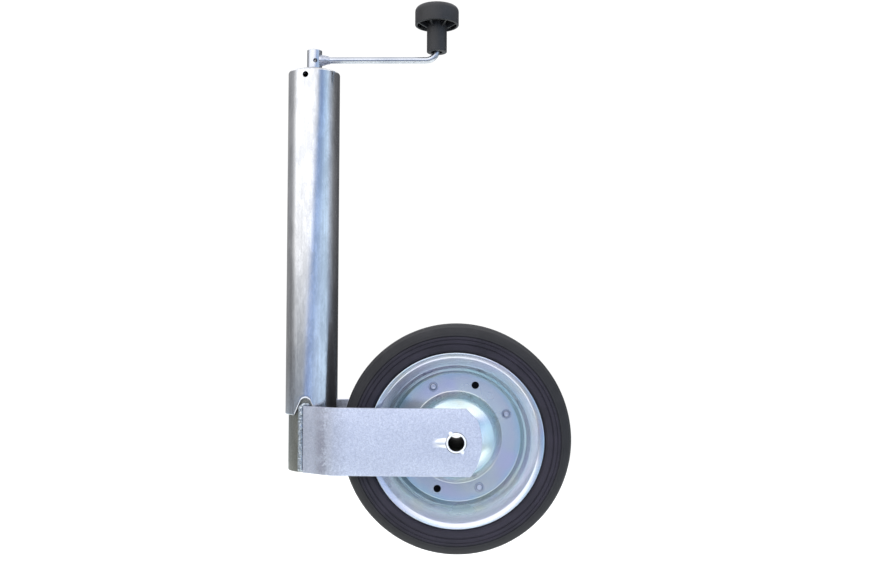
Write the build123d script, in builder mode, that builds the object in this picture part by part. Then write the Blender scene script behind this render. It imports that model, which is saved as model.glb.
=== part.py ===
# Trailer tongue jack with a solid jockey wheel.  Millimetres, +Z up.
# The origin is on the clamp tube's axis, halfway up the tube.  The wheel stands out to +X, the axle lies along Y.
import os
from math import acos, atan2, cos, hypot, radians, sin, tan

from build123d import *

# ---------------------------------------------------------------- driving sizes
# clamp tube (the outer tube that the trailer's 48 mm clamp grips)
TUBE_R = 24.0
TUBE_WALL = 2.5
TUBE_L = 318.0
TUBE_EDGE_R = 2.0           # rolled shoulder at the top
LIP_T = 1.4                 # rolled-in lip that holds the bearing cap down
LIP_REACH = 2.0
CLAMP_LINE_UP = 25.0        # scribed clamp limit line, above the lower edge
CLAMP_LINE_HALF = 0.4
CLAMP_LINE_DEEP = 0.25
VENT_R = 2.8                # grease hole through tube and cap skirt
VENT_BELOW_TOP = 6.6
VENT_TURN = -10.7           # degrees round from the front towards +X
NOTCH_X = -2.0              # arched notch that straddles the fork weld, front and back
NOTCH_PAST_ARM = 0.66       # notch beyond the arm's inner face, at the arm's top edge
NOTCH_FLARE = 0.45          # extra half width for each mm lower down
NOTCH_TOP_R = 5.4

# inner tube, its nut and the stroke
SLIDE_CLEAR = 0.5           # inner tube in the clamp tube, all round
INNER_WALL = 2.5
INNER_BELOW_ARM = 0.6       # inner tube end below the arms' lower edge
INNER_TOP_GAP = 34.0        # inner tube top below the clamp tube's top, wound in
STROKE = 200.0
NUT_FLANGE_T = 4.0
NUT_SPIGOT_L = 12.0
THREAD_CLEAR = 0.06         # nut bore over the spindle

# spindle, thrust bearing and cap
SPINDLE_R = 8.0
JOURNAL_R = 5.0
JOURNAL_CLEAR = 0.08
COLLAR_LIP = 1.5            # collar beyond the spindle, all round
COLLAR_T = 5.0
RACE_WIDE = 7.0             # race ring, from the journal outwards
RACE_T = 2.4
BALL_R = 2.25
BALL_COUNT = 9
BALL_PLAY = 0.2
GROOVE_DEEP = 0.25
CAGE_T = 1.0
CAP_T = 2.2
CAP_SKIRT_L = 11.0
CAP_RISE = 3.9              # raised centre over the bearing
POCKET_CLEAR = 0.05
END_WASHER_WIDE = 6.0
END_WASHER_T = 2.5
END_PIN_R = 2.0

# crank
BOSS_R = 7.0
BOSS_L = 17.4
BOSS_GAP = 0.3
BOSS_WASHER_LIP = 2.2       # washer beyond the boss, all round
BOSS_WASHER_T = 1.5
PIN_R = 2.0
PIN_SINK = 0.4
PIN_TURN = 14.5             # degrees round from the front towards +X
ROD_R = 3.0
ROD_UP = 8.2                # rod axis above the boss's lower end
ROD_BEND_R = 10.0
CRANK_R = 115.0
WELD_OVER = 2.4             # weld above the rod, all round
WELD_L = 8.0

# knob
KNOB_CLEAR = 0.06
SLEEVE_R = 9.4
SLEEVE_BELOW_BEND = 2.7     # the sleeve's end hangs this far below the top of the rod's bend
SLEEVE_MOUTH_GAP = 2.2      # mouth round the rod
SLEEVE_MOUTH_L = 3.9
HEAD_R = 20.5
HEAD_WALL = 2.2
HEAD_UP = 25.2              # head rim above the sleeve's end
HEAD_H = 17.4
HEAD_DOME = 1.4
HEAD_EDGE_R = 5.0
HEAD_TOP_T = 2.8
ROD_TIP_BELOW = 5.3         # rod tip below the head's shoulder height
SNAP_UP = 26.6              # snap ridge above the sleeve's end
SNAP_DEEP = 0.4
SNAP_H = 1.2
RIB_COUNT = 7
RIB_T = 1.5
RIB_TURN = -161.5

# fork
ARM_H = 60.0
ARM_T = 5.0
ARM_SLANT = 26.0
ARM_START_X = -1.6
ARM_BEND_R = 8.0
TYRE_GAP = 6.0              # tyre to clamp tube
AXLE_BELOW_TUBE = 21.0      # axle below the clamp tube's lower edge, wound in
AXLE_HOLE_CLEAR = 0.5
FLUTE_HALF_W = 4.5
FLUTE_RISE = 1.0
FLUTE_L = 12.5
BEAD_R = 3.1                # fork weld bead
BEAD_X = -5.7
BEAD_TOP_BELOW = 2.4        # centre of the bead's round top below the arm's top edge

# axle and hub
AXLE_R = 9.0
AXLE_BORE_R = 7.25
AXLE_PROUD = 1.0
EAR_R = 1.8
EAR_OUT = 0.7               # ear centres beyond the axle's radius
EAR_ANGLES = (121.0, 305.0)
AXLE_WASHER_WIDE = 5.0
AXLE_WASHER_T = 1.5
SIDE_PLAY = 0.5             # bush flange to washer
BUSH_CLEAR = 0.05
BUSH_WALL = 3.45
BUSH_L = 20.0
BUSH_FLANGE_T = 2.0
HUB_WALL = 2.5
HUB_HALF = 30.0

# pressed wheel halves and tyre
SHEET_T = 2.0
BOLT_RING_R = 50.9
HOLE_R = 3.5
HOLE_ANGLES = (70.0, 250.0)
RIVET_R = 2.2
RIVET_HEAD_R = 4.3
RIVET_HEAD_T = 0.5
RIVET_ANGLES = (25.0, 115.0, 205.0, 295.0)
RIM_R = 79.4
TYRE_R = 105.0
TYRE_HALF_W = 29.0

# ---------------------------------------------------------------- heights and radii that follow
Z_TOP = TUBE_L / 2
Z_LOW = -TUBE_L / 2
TUBE_IN = TUBE_R - TUBE_WALL
INNER_R = TUBE_IN - SLIDE_CLEAR
INNER_IN = INNER_R - INNER_WALL
COLLAR_R = SPINDLE_R + COLLAR_LIP
END_WASHER_R = SPINDLE_R + END_WASHER_WIDE
RACE_R = JOURNAL_R + RACE_WIDE
BALL_PITCH_R = JOURNAL_R + RACE_WIDE / 2
RACE_GAP = 2 * (BALL_R - GROOVE_DEEP) + BALL_PLAY
BOSS_WASHER_R = BOSS_R + BOSS_WASHER_LIP
WELD_R = ROD_R + WELD_OVER
SLEEVE_MOUTH_R = ROD_R + SLEEVE_MOUTH_GAP
AXLE_X = TUBE_R + TYRE_GAP + TYRE_R
AXLE_HOLE_R = AXLE_R + AXLE_HOLE_CLEAR
AXLE_WASHER_R = AXLE_R + AXLE_WASHER_WIDE
EAR_AT_R = AXLE_R + EAR_OUT
FLUTE_FROM = AXLE_HOLE_R - 0.5
FLUTE_TO = FLUTE_FROM + FLUTE_L
ARM_INNER_Y = HUB_HALF + BUSH_FLANGE_T + SIDE_PLAY + AXLE_WASHER_T
Z_INNER_TOP = Z_TOP - INNER_TOP_GAP
Z_NUT_TOP = Z_INNER_TOP + NUT_FLANGE_T
Z_NUT_LOW = Z_INNER_TOP - NUT_SPIGOT_L
Z_CAP_OUT = Z_TOP - LIP_T                     # cap plate, upper face
Z_CAP_IN = Z_CAP_OUT - CAP_T                  # cap plate, lower face
Z_CROWN = Z_CAP_OUT + CAP_RISE                # raised centre, upper face
Z_POCKET = Z_CROWN - CAP_T                    # raised centre, lower face
Z_RACE_UP = Z_POCKET - RACE_T
Z_RACE_LOW = Z_RACE_UP - RACE_GAP
Z_COLLAR_TOP = Z_RACE_LOW - RACE_T
Z_COLLAR_LOW = Z_COLLAR_TOP - COLLAR_T
Z_BALL = Z_RACE_LOW - GROOVE_DEEP + BALL_R
Z_VENT = Z_TOP - VENT_BELOW_TOP
Z_END_WASHER = Z_NUT_LOW - STROKE - 2.5       # upper face of the stop washer
Z_END_PIN = Z_END_WASHER - END_WASHER_T - END_PIN_R
Z_SPINDLE_LOW = Z_END_PIN - 2.2 * END_PIN_R
Z_WASHER = Z_CROWN + BOSS_WASHER_T
Z_BOSS_LOW = Z_WASHER + BOSS_GAP
Z_BOSS_TOP = Z_BOSS_LOW + BOSS_L
Z_ROD = Z_BOSS_LOW + ROD_UP
Z_PIN = Z_ROD - 1.7
Z_SLEEVE = Z_ROD + ROD_BEND_R - SLEEVE_BELOW_BEND
Z_HEAD = Z_SLEEVE + HEAD_UP
Z_HEAD_TOP = Z_HEAD + HEAD_H
Z_ROD_TIP = Z_HEAD_TOP - ROD_TIP_BELOW
Z_SNAP = Z_SLEEVE + SNAP_UP
AXLE_Z = Z_LOW - AXLE_BELOW_TUBE
ARM_OUTER_Y = ARM_INNER_Y + ARM_T
Z_ARM_LOW = AXLE_Z - ARM_H / 2
Z_ARM_TOP = AXLE_Z + ARM_H / 2
Z_INNER_LOW = Z_ARM_LOW - INNER_BELOW_ARM
ARM_IN_TUBE = Z_ARM_TOP - Z_LOW               # how far the arms reach up into the notches
# the arm's inner face runs out through the clamp tube's surface this far along its slant
ARM_Y0 = -(INNER_R ** 2 - ARM_START_X ** 2) ** 0.5
lean = ARM_START_X * cos(radians(ARM_SLANT)) - ARM_Y0 * sin(radians(ARM_SLANT))
ARM_EXIT_X = ARM_START_X + cos(radians(ARM_SLANT)) * ((lean ** 2 + TUBE_R ** 2 - INNER_R ** 2) ** 0.5 - lean)
NOTCH_HALF = ARM_EXIT_X - NOTCH_X + NOTCH_PAST_ARM + NOTCH_FLARE * ARM_IN_TUBE
NOTCH_H = (NOTCH_HALF - NOTCH_TOP_R * hypot(1, NOTCH_FLARE)) / NOTCH_FLARE + NOTCH_TOP_R
BUSH_IN = AXLE_R + BUSH_CLEAR
BUSH_R = BUSH_IN + BUSH_WALL
HUB_R = BUSH_R + HUB_WALL


def round_z(points):
    """Turn a closed outline of (radius, height) points about the clamp tube's axis."""
    with BuildSketch(Plane.XZ) as outline:
        with BuildLine():
            Polyline(*points, close=True)
        make_face()
    revolve(outline.sketch, axis=Axis.Z)


# radius along X and width along Y, on the axle's axis
WHEEL_PLANE = Plane(origin=(AXLE_X, 0, AXLE_Z), x_dir=(1, 0, 0), z_dir=(0, 0, 1))
WHEEL_AXIS = Axis((AXLE_X, 0, AXLE_Z), (0, 1, 0))


def round_y(points):
    """Turn a closed outline of (radius, y) points about the axle's axis."""
    with BuildSketch(WHEEL_PLANE) as outline:
        with BuildLine():
            Polyline(*points, close=True)
        make_face()
    revolve(outline.sketch, axis=WHEEL_AXIS)


def side(turn, radius, z):
    """A plane standing on a round part, facing outwards; turn is counted from the front (-Y) towards +X."""
    out = Vector(sin(radians(turn)), -cos(radians(turn)), 0)
    return Plane(origin=out * radius + Vector(0, 0, z), z_dir=out)


def front(radius, angle, y):
    """A plane facing the front at a polar position round the axle."""
    x = AXLE_X + radius * cos(radians(angle))
    z = AXLE_Z + radius * sin(radians(angle))
    return Plane(origin=(x, y, z), x_dir=(1, 0, 0), z_dir=(0, -1, 0))


nodes = {}

# ---------------------------------------------------------------- clamp tube
with BuildPart() as outer_tube:
    line_z = Z_LOW + CLAMP_LINE_UP
    with BuildSketch(Plane.XZ):
        with BuildLine():
            Polyline((TUBE_R - TUBE_EDGE_R, Z_TOP), (TUBE_IN - LIP_REACH, Z_TOP),
                     (TUBE_IN - LIP_REACH, Z_CAP_OUT), (TUBE_IN, Z_CAP_OUT), (TUBE_IN, Z_LOW),
                     (TUBE_R, Z_LOW), (TUBE_R, line_z - CLAMP_LINE_HALF),
                     (TUBE_R - CLAMP_LINE_DEEP, line_z), (TUBE_R, line_z + CLAMP_LINE_HALF),
                     (TUBE_R, Z_TOP - TUBE_EDGE_R))
            corner = TUBE_EDGE_R * cos(radians(45))
            ThreePointArc((TUBE_R, Z_TOP - TUBE_EDGE_R),
                          (TUBE_R - TUBE_EDGE_R + corner, Z_TOP - TUBE_EDGE_R + corner),
                          (TUBE_R - TUBE_EDGE_R, Z_TOP))
        make_face()
    revolve(axis=Axis.Z)
    # arched notches in the lower edge, front and back: straight sides that run tangent into a round top
    rise = NOTCH_H - NOTCH_TOP_R
    turn = atan2(-rise, NOTCH_HALF) + acos(NOTCH_TOP_R / hypot(NOTCH_HALF, rise))
    tx, tz = NOTCH_TOP_R * cos(turn), rise + NOTCH_TOP_R * sin(turn)
    with BuildSketch(Plane(origin=(NOTCH_X, 0, Z_LOW), x_dir=(1, 0, 0), z_dir=(0, -1, 0))):
        with BuildLine():
            Polyline((-tx, tz), (-NOTCH_HALF, 0), (-NOTCH_HALF, -2), (NOTCH_HALF, -2), (NOTCH_HALF, 0), (tx, tz))
            ThreePointArc((tx, tz), (0, NOTCH_H), (-tx, tz))
        make_face()
    extrude(amount=TUBE_R + 1, both=True, mode=Mode.SUBTRACT)
    with BuildSketch(side(VENT_TURN, TUBE_IN - 1, Z_VENT)):
        Circle(VENT_R)
    extrude(amount=TUBE_WALL + 2, mode=Mode.SUBTRACT)
nodes["outer_tube"] = outer_tube

# ---------------------------------------------------------------- bearing cap, pressed in under the lip
with BuildPart() as bearing_cap:
    bore = JOURNAL_R + JOURNAL_CLEAR
    pocket = RACE_R + POCKET_CLEAR
    skirt_in = TUBE_IN - CAP_T
    crown = pocket + CAP_T
    round_z([(bore, Z_POCKET), (pocket, Z_POCKET), (pocket, Z_CAP_IN), (skirt_in, Z_CAP_IN),
             (skirt_in, Z_CAP_IN - CAP_SKIRT_L), (TUBE_IN, Z_CAP_IN - CAP_SKIRT_L), (TUBE_IN, Z_CAP_OUT),
             (crown + 3, Z_CAP_OUT), (crown, Z_CROWN), (bore, Z_CROWN)])
    with BuildSketch(side(VENT_TURN, skirt_in - 2, Z_VENT)):
        Circle(VENT_R)
    extrude(amount=CAP_T + 4, mode=Mode.SUBTRACT)
nodes["bearing_cap"] = bearing_cap

with BuildPart() as thrust_washer_top:
    round_z([(JOURNAL_R + 0.5, Z_RACE_UP), (RACE_R, Z_RACE_UP), (RACE_R, Z_POCKET), (JOURNAL_R + 0.5, Z_POCKET)])
    with Locations((0, 0, Z_BALL)):
        Torus(BALL_PITCH_R, BALL_R + 0.3, mode=Mode.SUBTRACT)
nodes["thrust_washer_top"] = thrust_washer_top

with BuildPart() as boss_washer:
    round_z([(JOURNAL_R + 0.5, Z_CROWN), (BOSS_WASHER_R, Z_CROWN), (BOSS_WASHER_R, Z_WASHER),
             (JOURNAL_R + 0.5, Z_WASHER)])
nodes["boss_washer"] = boss_washer

# ---------------------------------------------------------------- spindle and thrust bearing
with BuildPart() as spindle:
    tip = 1.5
    round_z([(0, Z_SPINDLE_LOW), (SPINDLE_R - tip, Z_SPINDLE_LOW), (SPINDLE_R, Z_SPINDLE_LOW + tip),
             (SPINDLE_R, Z_COLLAR_LOW), (COLLAR_R, Z_COLLAR_LOW), (COLLAR_R, Z_COLLAR_TOP),
             (JOURNAL_R, Z_COLLAR_TOP), (JOURNAL_R, Z_BOSS_TOP - 1.2), (JOURNAL_R - 0.6, Z_BOSS_TOP - 0.6),
             (0, Z_BOSS_TOP - 0.6)])
    with BuildSketch(side(PIN_TURN, 0, Z_PIN)):
        Circle(PIN_R)
    extrude(amount=JOURNAL_R + 1, both=True, mode=Mode.SUBTRACT)
    with BuildSketch(side(0, 0, Z_END_PIN)):
        Circle(END_PIN_R)
    extrude(amount=SPINDLE_R + 1, both=True, mode=Mode.SUBTRACT)
nodes["spindle"] = spindle

with BuildPart() as thrust_washer_bottom:
    round_z([(JOURNAL_R, Z_COLLAR_TOP), (RACE_R - 0.1, Z_COLLAR_TOP), (RACE_R - 0.1, Z_RACE_LOW),
             (JOURNAL_R, Z_RACE_LOW)])
    with Locations((0, 0, Z_BALL)):
        Torus(BALL_PITCH_R, BALL_R, mode=Mode.SUBTRACT)
nodes["thrust_washer_bottom"] = thrust_washer_bottom

with BuildPart() as thrust_balls:
    with Locations((0, 0, Z_BALL)):
        with PolarLocations(BALL_PITCH_R, BALL_COUNT):
            Sphere(BALL_R)
nodes["thrust_balls"] = thrust_balls

with BuildPart() as ball_cage:
    cage_wide = 1.02 * BALL_R
    round_z([(BALL_PITCH_R - cage_wide, Z_BALL - CAGE_T / 2), (BALL_PITCH_R + cage_wide, Z_BALL - CAGE_T / 2),
             (BALL_PITCH_R + cage_wide, Z_BALL + CAGE_T / 2), (BALL_PITCH_R - cage_wide, Z_BALL + CAGE_T / 2)])
    with Locations((0, 0, Z_BALL)):
        with PolarLocations(BALL_PITCH_R, BALL_COUNT):
            Cylinder(0.98 * BALL_R, 2 * CAGE_T, mode=Mode.SUBTRACT)
nodes["ball_cage"] = ball_cage

with BuildPart() as stop_washer:
    low = Z_END_WASHER - END_WASHER_T
    round_z([(SPINDLE_R, low), (END_WASHER_R, low), (END_WASHER_R, Z_END_WASHER), (SPINDLE_R, Z_END_WASHER)])
nodes["stop_washer"] = stop_washer

with BuildPart() as stop_pin:
    with BuildSketch(side(0, 0, Z_END_PIN)):
        Circle(END_PIN_R)
    extrude(amount=SPINDLE_R + 3, both=True)
nodes["stop_pin"] = stop_pin

# ---------------------------------------------------------------- crank
with BuildPart() as crank_boss:
    round_z([(JOURNAL_R, Z_BOSS_LOW), (BOSS_R, Z_BOSS_LOW), (BOSS_R, Z_BOSS_TOP - 0.6),
             (BOSS_R - 0.6, Z_BOSS_TOP), (JOURNAL_R, Z_BOSS_TOP)])
    with BuildSketch(side(PIN_TURN, 0, Z_PIN)):
        Circle(PIN_R)
    extrude(amount=BOSS_R + 1, both=True, mode=Mode.SUBTRACT)
nodes["crank_boss"] = crank_boss

# slotted spring pin, a little below the boss's surface at both ends
with BuildPart() as boss_cross_pin:
    with BuildSketch(side(PIN_TURN, 0, Z_PIN)):
        Circle(PIN_R)
        Circle(PIN_R - 0.8, mode=Mode.SUBTRACT)
        with Locations((0, PIN_R)):
            Rectangle(0.6, 2 * PIN_R, mode=Mode.SUBTRACT)
    extrude(amount=BOSS_R - PIN_SINK, both=True)
nodes["boss_cross_pin"] = boss_cross_pin

with BuildPart() as crank_rod:
    with BuildLine() as rod_line:
        FilletPolyline((BOSS_R - 2, 0, Z_ROD), (CRANK_R, 0, Z_ROD), (CRANK_R, 0, Z_ROD_TIP), radius=ROD_BEND_R)
    with BuildSketch(Plane(origin=(BOSS_R - 2, 0, Z_ROD), z_dir=(1, 0, 0))):
        Circle(ROD_R)
    sweep(path=rod_line.line)
    with Locations((0, 0, Z_ROD)):
        Cylinder(BOSS_R, 4 * ROD_R, mode=Mode.SUBTRACT)
    # groove that the knob snaps into
    with Locations((CRANK_R, 0, Z_SNAP)):
        Cylinder(ROD_R + 1, SNAP_H + 1.6, mode=Mode.SUBTRACT)
        Cylinder(ROD_R - SNAP_DEEP, SNAP_H + 1.6)
nodes["crank_rod"] = crank_rod

# weld that runs out from the boss along the rod
with BuildPart() as crank_weld:
    x0 = BOSS_R - 2
    with BuildSketch(Plane.XZ.offset(0)):
        with BuildLine():
            Polyline((x0, Z_ROD + ROD_R - 1), (x0, Z_ROD + WELD_R), (BOSS_R + 1.6, Z_ROD + WELD_R - 0.2),
                     (BOSS_R + 4.4, Z_ROD + 0.45 * WELD_R + 0.55 * ROD_R),
                     (BOSS_R + WELD_L, Z_ROD + ROD_R + 0.15), (BOSS_R + WELD_L, Z_ROD + ROD_R - 1), close=True)
        make_face()
    revolve(axis=Axis((0, 0, Z_ROD), (1, 0, 0)))
    add(crank_rod.part, mode=Mode.SUBTRACT)
    with Locations((0, 0, Z_ROD)):
        Cylinder(BOSS_R, 4 * WELD_R, mode=Mode.SUBTRACT)
nodes["crank_weld"] = crank_weld

# ---------------------------------------------------------------- crank knob
with BuildPart() as crank_knob:
    bore = ROD_R + KNOB_CLEAR
    ridge = bore - SNAP_DEEP
    under = Z_HEAD_TOP - HEAD_TOP_T
    wall_in = HEAD_R - HEAD_WALL
    edge_in = HEAD_R - HEAD_EDGE_R
    slant = HEAD_EDGE_R * cos(radians(45))
    dome_r = (edge_in ** 2 + HEAD_DOME ** 2) / (2 * HEAD_DOME)
    dome_mid = Z_HEAD_TOP + HEAD_DOME - dome_r + (dome_r ** 2 - edge_in ** 2 / 4) ** 0.5
    with BuildSketch(Plane(origin=(CRANK_R, 0, 0), x_dir=(1, 0, 0), z_dir=(0, -1, 0))):
        with BuildLine():
            Polyline((0, Z_HEAD_TOP + HEAD_DOME), (0, Z_ROD_TIP + 0.6), (bore, Z_ROD_TIP + 0.6),
                     (bore, Z_SNAP + SNAP_H / 2 + 0.4), (ridge, Z_SNAP + SNAP_H / 2),
                     (ridge, Z_SNAP - SNAP_H / 2), (bore, Z_SNAP - SNAP_H / 2 - 0.4),
                     (bore, Z_SLEEVE + SLEEVE_MOUTH_L), (SLEEVE_MOUTH_R, Z_SLEEVE + SLEEVE_MOUTH_L - 1),
                     (SLEEVE_MOUTH_R, Z_SLEEVE), (SLEEVE_R - 0.5, Z_SLEEVE), (SLEEVE_R, Z_SLEEVE + 0.5),
                     (SLEEVE_R, under), (wall_in, under), (wall_in, Z_HEAD), (HEAD_R - 0.8, Z_HEAD),
                     (HEAD_R, Z_HEAD + 0.8), (HEAD_R, Z_HEAD_TOP - HEAD_EDGE_R))
            ThreePointArc((HEAD_R, Z_HEAD_TOP - HEAD_EDGE_R),
                          (edge_in + slant, Z_HEAD_TOP - HEAD_EDGE_R + slant), (edge_in, Z_HEAD_TOP))
            ThreePointArc((edge_in, Z_HEAD_TOP), (edge_in / 2, dome_mid), (0, Z_HEAD_TOP + HEAD_DOME))
        make_face()
    revolve(axis=Axis((CRANK_R, 0, 0), (0, 0, 1)))
    # ribs between sleeve and head, their lower edges falling towards the sleeve
    for k in range(RIB_COUNT):
        a = radians(RIB_TURN + k * 360 / RIB_COUNT)
        with BuildSketch(Plane(origin=(CRANK_R, 0, 0), x_dir=(cos(a), sin(a), 0), z_dir=(sin(a), -cos(a), 0))):
            with BuildLine():
                Polyline((SLEEVE_R - 0.3, Z_HEAD - 2.7), (wall_in + 0.3, Z_HEAD + 1), (wall_in + 0.3, under + 0.3),
                         (SLEEVE_R - 0.3, under + 0.3), close=True)
            make_face()
        extrude(amount=RIB_T / 2, both=True)
nodes["crank_knob"] = crank_knob

# ---------------------------------------------------------------- inner tube and spindle nut
with BuildPart() as inner_tube:
    round_z([(INNER_IN, Z_INNER_LOW), (INNER_R, Z_INNER_LOW), (INNER_R, Z_INNER_TOP), (INNER_IN, Z_INNER_TOP)])
nodes["inner_tube"] = inner_tube

with BuildPart() as spindle_nut:
    bore = SPINDLE_R + THREAD_CLEAR
    round_z([(bore, Z_NUT_LOW), (INNER_IN, Z_NUT_LOW), (INNER_IN, Z_INNER_TOP), (INNER_R, Z_INNER_TOP),
             (INNER_R, Z_NUT_TOP - 1), (INNER_R - 1, Z_NUT_TOP), (bore, Z_NUT_TOP)])
nodes["spindle_nut"] = spindle_nut

# ---------------------------------------------------------------- fork arms, cranked flat bars
with BuildPart() as fork_arm_front:
    slant = radians(ARM_SLANT)
    y0 = ARM_Y0
    out_x, out_y = -ARM_T * sin(slant), -ARM_T * cos(slant)
    bend_in = ARM_START_X + (y0 + ARM_INNER_Y) / tan(slant)
    bend_out = ARM_START_X + out_x + (y0 + out_y + ARM_OUTER_Y) / tan(slant)
    with BuildSketch(Plane.XY.offset(Z_ARM_LOW)):
        with BuildLine():
            FilletPolyline((ARM_START_X, y0), (bend_in, -ARM_INNER_Y), (AXLE_X + 30, -ARM_INNER_Y),
                           (AXLE_X + 30, -ARM_OUTER_Y), (bend_out, -ARM_OUTER_Y),
                           (ARM_START_X + out_x, y0 + out_y), close=True,
                           radius=[0, ARM_BEND_R, 0, 0, ARM_BEND_R + ARM_T, 0])
        make_face()
    extrude(amount=ARM_H)
    # clipped upper corner and rounded end
    with BuildSketch(Plane(origin=(AXLE_X, 0, AXLE_Z), x_dir=(1, 0, 0), z_dir=(0, -1, 0))):
        half = ARM_H / 2
        with BuildLine():
            Polyline((12.6, -half), (-2 * AXLE_X, -half), (-2 * AXLE_X, half), (8.8, half), (18.6, half - 10))
            ThreePointArc((18.6, half - 10), (22.8, 1.5), (12.6, -half))
        make_face()
    extrude(amount=2 * ARM_OUTER_Y, both=True, mode=Mode.INTERSECT)
    # raised flute that runs up to the axle hole
    flute_r = (FLUTE_HALF_W ** 2 + FLUTE_RISE ** 2) / (2 * FLUTE_RISE)
    start = (AXLE_X - FLUTE_TO, -ARM_OUTER_Y + flute_r, AXLE_Z)
    run = FLUTE_TO - FLUTE_FROM
    with BuildSketch(Plane(origin=start, z_dir=(run, -FLUTE_RISE, 0))):
        Circle(flute_r)
    flute = extrude(amount=hypot(run, FLUTE_RISE), mode=Mode.PRIVATE)
    reach = Box(2 * AXLE_X, FLUTE_RISE + 1, ARM_H, mode=Mode.PRIVATE)
    add(flute & Pos(AXLE_X, -ARM_OUTER_Y + (1 - FLUTE_RISE) / 2, AXLE_Z) * reach)
    with BuildSketch(front(0, 0, 0)):
        Circle(AXLE_HOLE_R)
    extrude(amount=2 * ARM_OUTER_Y, mode=Mode.SUBTRACT)
nodes["fork_arm_front"] = fork_arm_front

with BuildPart() as fork_arm_rear:
    add(fork_arm_front.part.mirror(Plane.XZ))
nodes["fork_arm_rear"] = fork_arm_rear

# upright weld beads between the arms' ends and the inner tube
with BuildPart() as fork_weld_front:
    bead_y = y0 - 1.1
    z_round = Z_ARM_TOP - BEAD_TOP_BELOW
    low = Z_ARM_LOW + BEAD_R
    with Locations((BEAD_X, bead_y, (low + z_round) / 2)):
        Cylinder(BEAD_R, z_round - low)
    with Locations((BEAD_X, bead_y, low), (BEAD_X, bead_y, z_round)):
        Sphere(BEAD_R)
    add(fork_arm_front.part, mode=Mode.SUBTRACT)
    Cylinder(INNER_R, 2 * TUBE_L, mode=Mode.SUBTRACT)
nodes["fork_weld_front"] = fork_weld_front

with BuildPart() as fork_weld_rear:
    add(fork_weld_front.part.mirror(Plane.XZ))
nodes["fork_weld_rear"] = fork_weld_rear

# ---------------------------------------------------------------- hollow axle, staked over the arms
with BuildPart() as wheel_axle:
    half = ARM_OUTER_Y + AXLE_PROUD
    round_y([(AXLE_BORE_R, -half), (AXLE_R - 0.4, -half), (AXLE_R, -half + 0.4), (AXLE_R, half - 0.4),
             (AXLE_R - 0.4, half), (AXLE_BORE_R, half)])
    for angle in EAR_ANGLES:
        with BuildSketch(front(EAR_AT_R, angle, -ARM_OUTER_Y)):
            Circle(EAR_R)
        extrude(amount=AXLE_PROUD - 0.1)
        with BuildSketch(front(EAR_AT_R, angle, half - 0.1)):
            Circle(EAR_R)
        extrude(amount=AXLE_PROUD - 0.1)
    with BuildSketch(front(0, 0, half + 1)):
        Circle(AXLE_BORE_R)
    extrude(amount=2 * half + 2, mode=Mode.SUBTRACT)
nodes["wheel_axle"] = wheel_axle

with BuildPart() as axle_washers:
    for y in (-ARM_INNER_Y, ARM_INNER_Y - AXLE_WASHER_T):
        round_y([(AXLE_R, y), (AXLE_WASHER_R, y), (AXLE_WASHER_R, y + AXLE_WASHER_T), (AXLE_R, y + AXLE_WASHER_T)])
nodes["axle_washers"] = axle_washers

# ---------------------------------------------------------------- wheel hub and its bushes
with BuildPart() as hub_tube:
    round_y([(BUSH_R, -HUB_HALF), (HUB_R, -HUB_HALF), (HUB_R, HUB_HALF), (BUSH_R, HUB_HALF)])
nodes["hub_tube"] = hub_tube

with BuildPart() as hub_bush_front:
    lip = HUB_R - 0.5
    round_y([(BUSH_IN, -HUB_HALF + BUSH_L), (BUSH_R, -HUB_HALF + BUSH_L), (BUSH_R, -HUB_HALF), (lip, -HUB_HALF),
             (lip, -HUB_HALF - BUSH_FLANGE_T), (BUSH_IN, -HUB_HALF - BUSH_FLANGE_T)])
nodes["hub_bush_front"] = hub_bush_front

with BuildPart() as hub_bush_rear:
    add(hub_bush_front.part.mirror(Plane.XZ))
nodes["hub_bush_rear"] = hub_bush_rear

# ---------------------------------------------------------------- pressed wheel halves
# middle line of the sheet, from the collar on the hub out to the rolled rim, as (radius, distance from the joint)
half_t = SHEET_T / 2
wall = [(RIM_R - 11.2, 17.4), (RIM_R - 4.4, 24.6), (RIM_R - half_t, 25.6)]
sheet_line = [(HUB_R + half_t, 29.0), (HUB_R + half_t, 20.5), (26.0, 17.6), (35.0, 11.6), (41.6, half_t),
              (60.2, half_t), (62.8, 8.4), (65.0, 10.2)] + wall
sheet_bends = [1.6, 24.0, 9.0, 2.4, 2.0, 1.6, 1.6, 3.0, 2.6]

with BuildPart() as rim_disc_front:
    with BuildSketch(WHEEL_PLANE):
        with BuildLine():
            FilletPolyline(*[(r, -y) for r, y in sheet_line], radius=sheet_bends)
            offset(amount=half_t, side=Side.BOTH)
        make_face()
    revolve(axis=WHEEL_AXIS)
    for angle, radius in [(a, HOLE_R) for a in HOLE_ANGLES] + [(a, RIVET_R) for a in RIVET_ANGLES]:
        with BuildSketch(front(BOLT_RING_R, angle, 5)):
            Circle(radius)
        extrude(amount=10, mode=Mode.SUBTRACT)
nodes["rim_disc_front"] = rim_disc_front

# the same pressing faced about and riveted a quarter turn on, so each half closes the other's two holes
with BuildPart() as rim_disc_rear:
    add(rim_disc_front.part.mirror(Plane.XZ).rotate(WHEEL_AXIS, 90))
nodes["rim_disc_rear"] = rim_disc_rear

with BuildPart() as disc_rivets:
    for angle in RIVET_ANGLES:
        with BuildSketch(front(BOLT_RING_R, angle, SHEET_T)):
            Circle(RIVET_R)
        extrude(amount=2 * SHEET_T)
        for y in (-SHEET_T, SHEET_T + RIVET_HEAD_T):
            with BuildSketch(front(BOLT_RING_R, angle, y)):
                Circle(RIVET_HEAD_R)
            extrude(amount=RIVET_HEAD_T)
nodes["disc_rivets"] = disc_rivets

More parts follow.
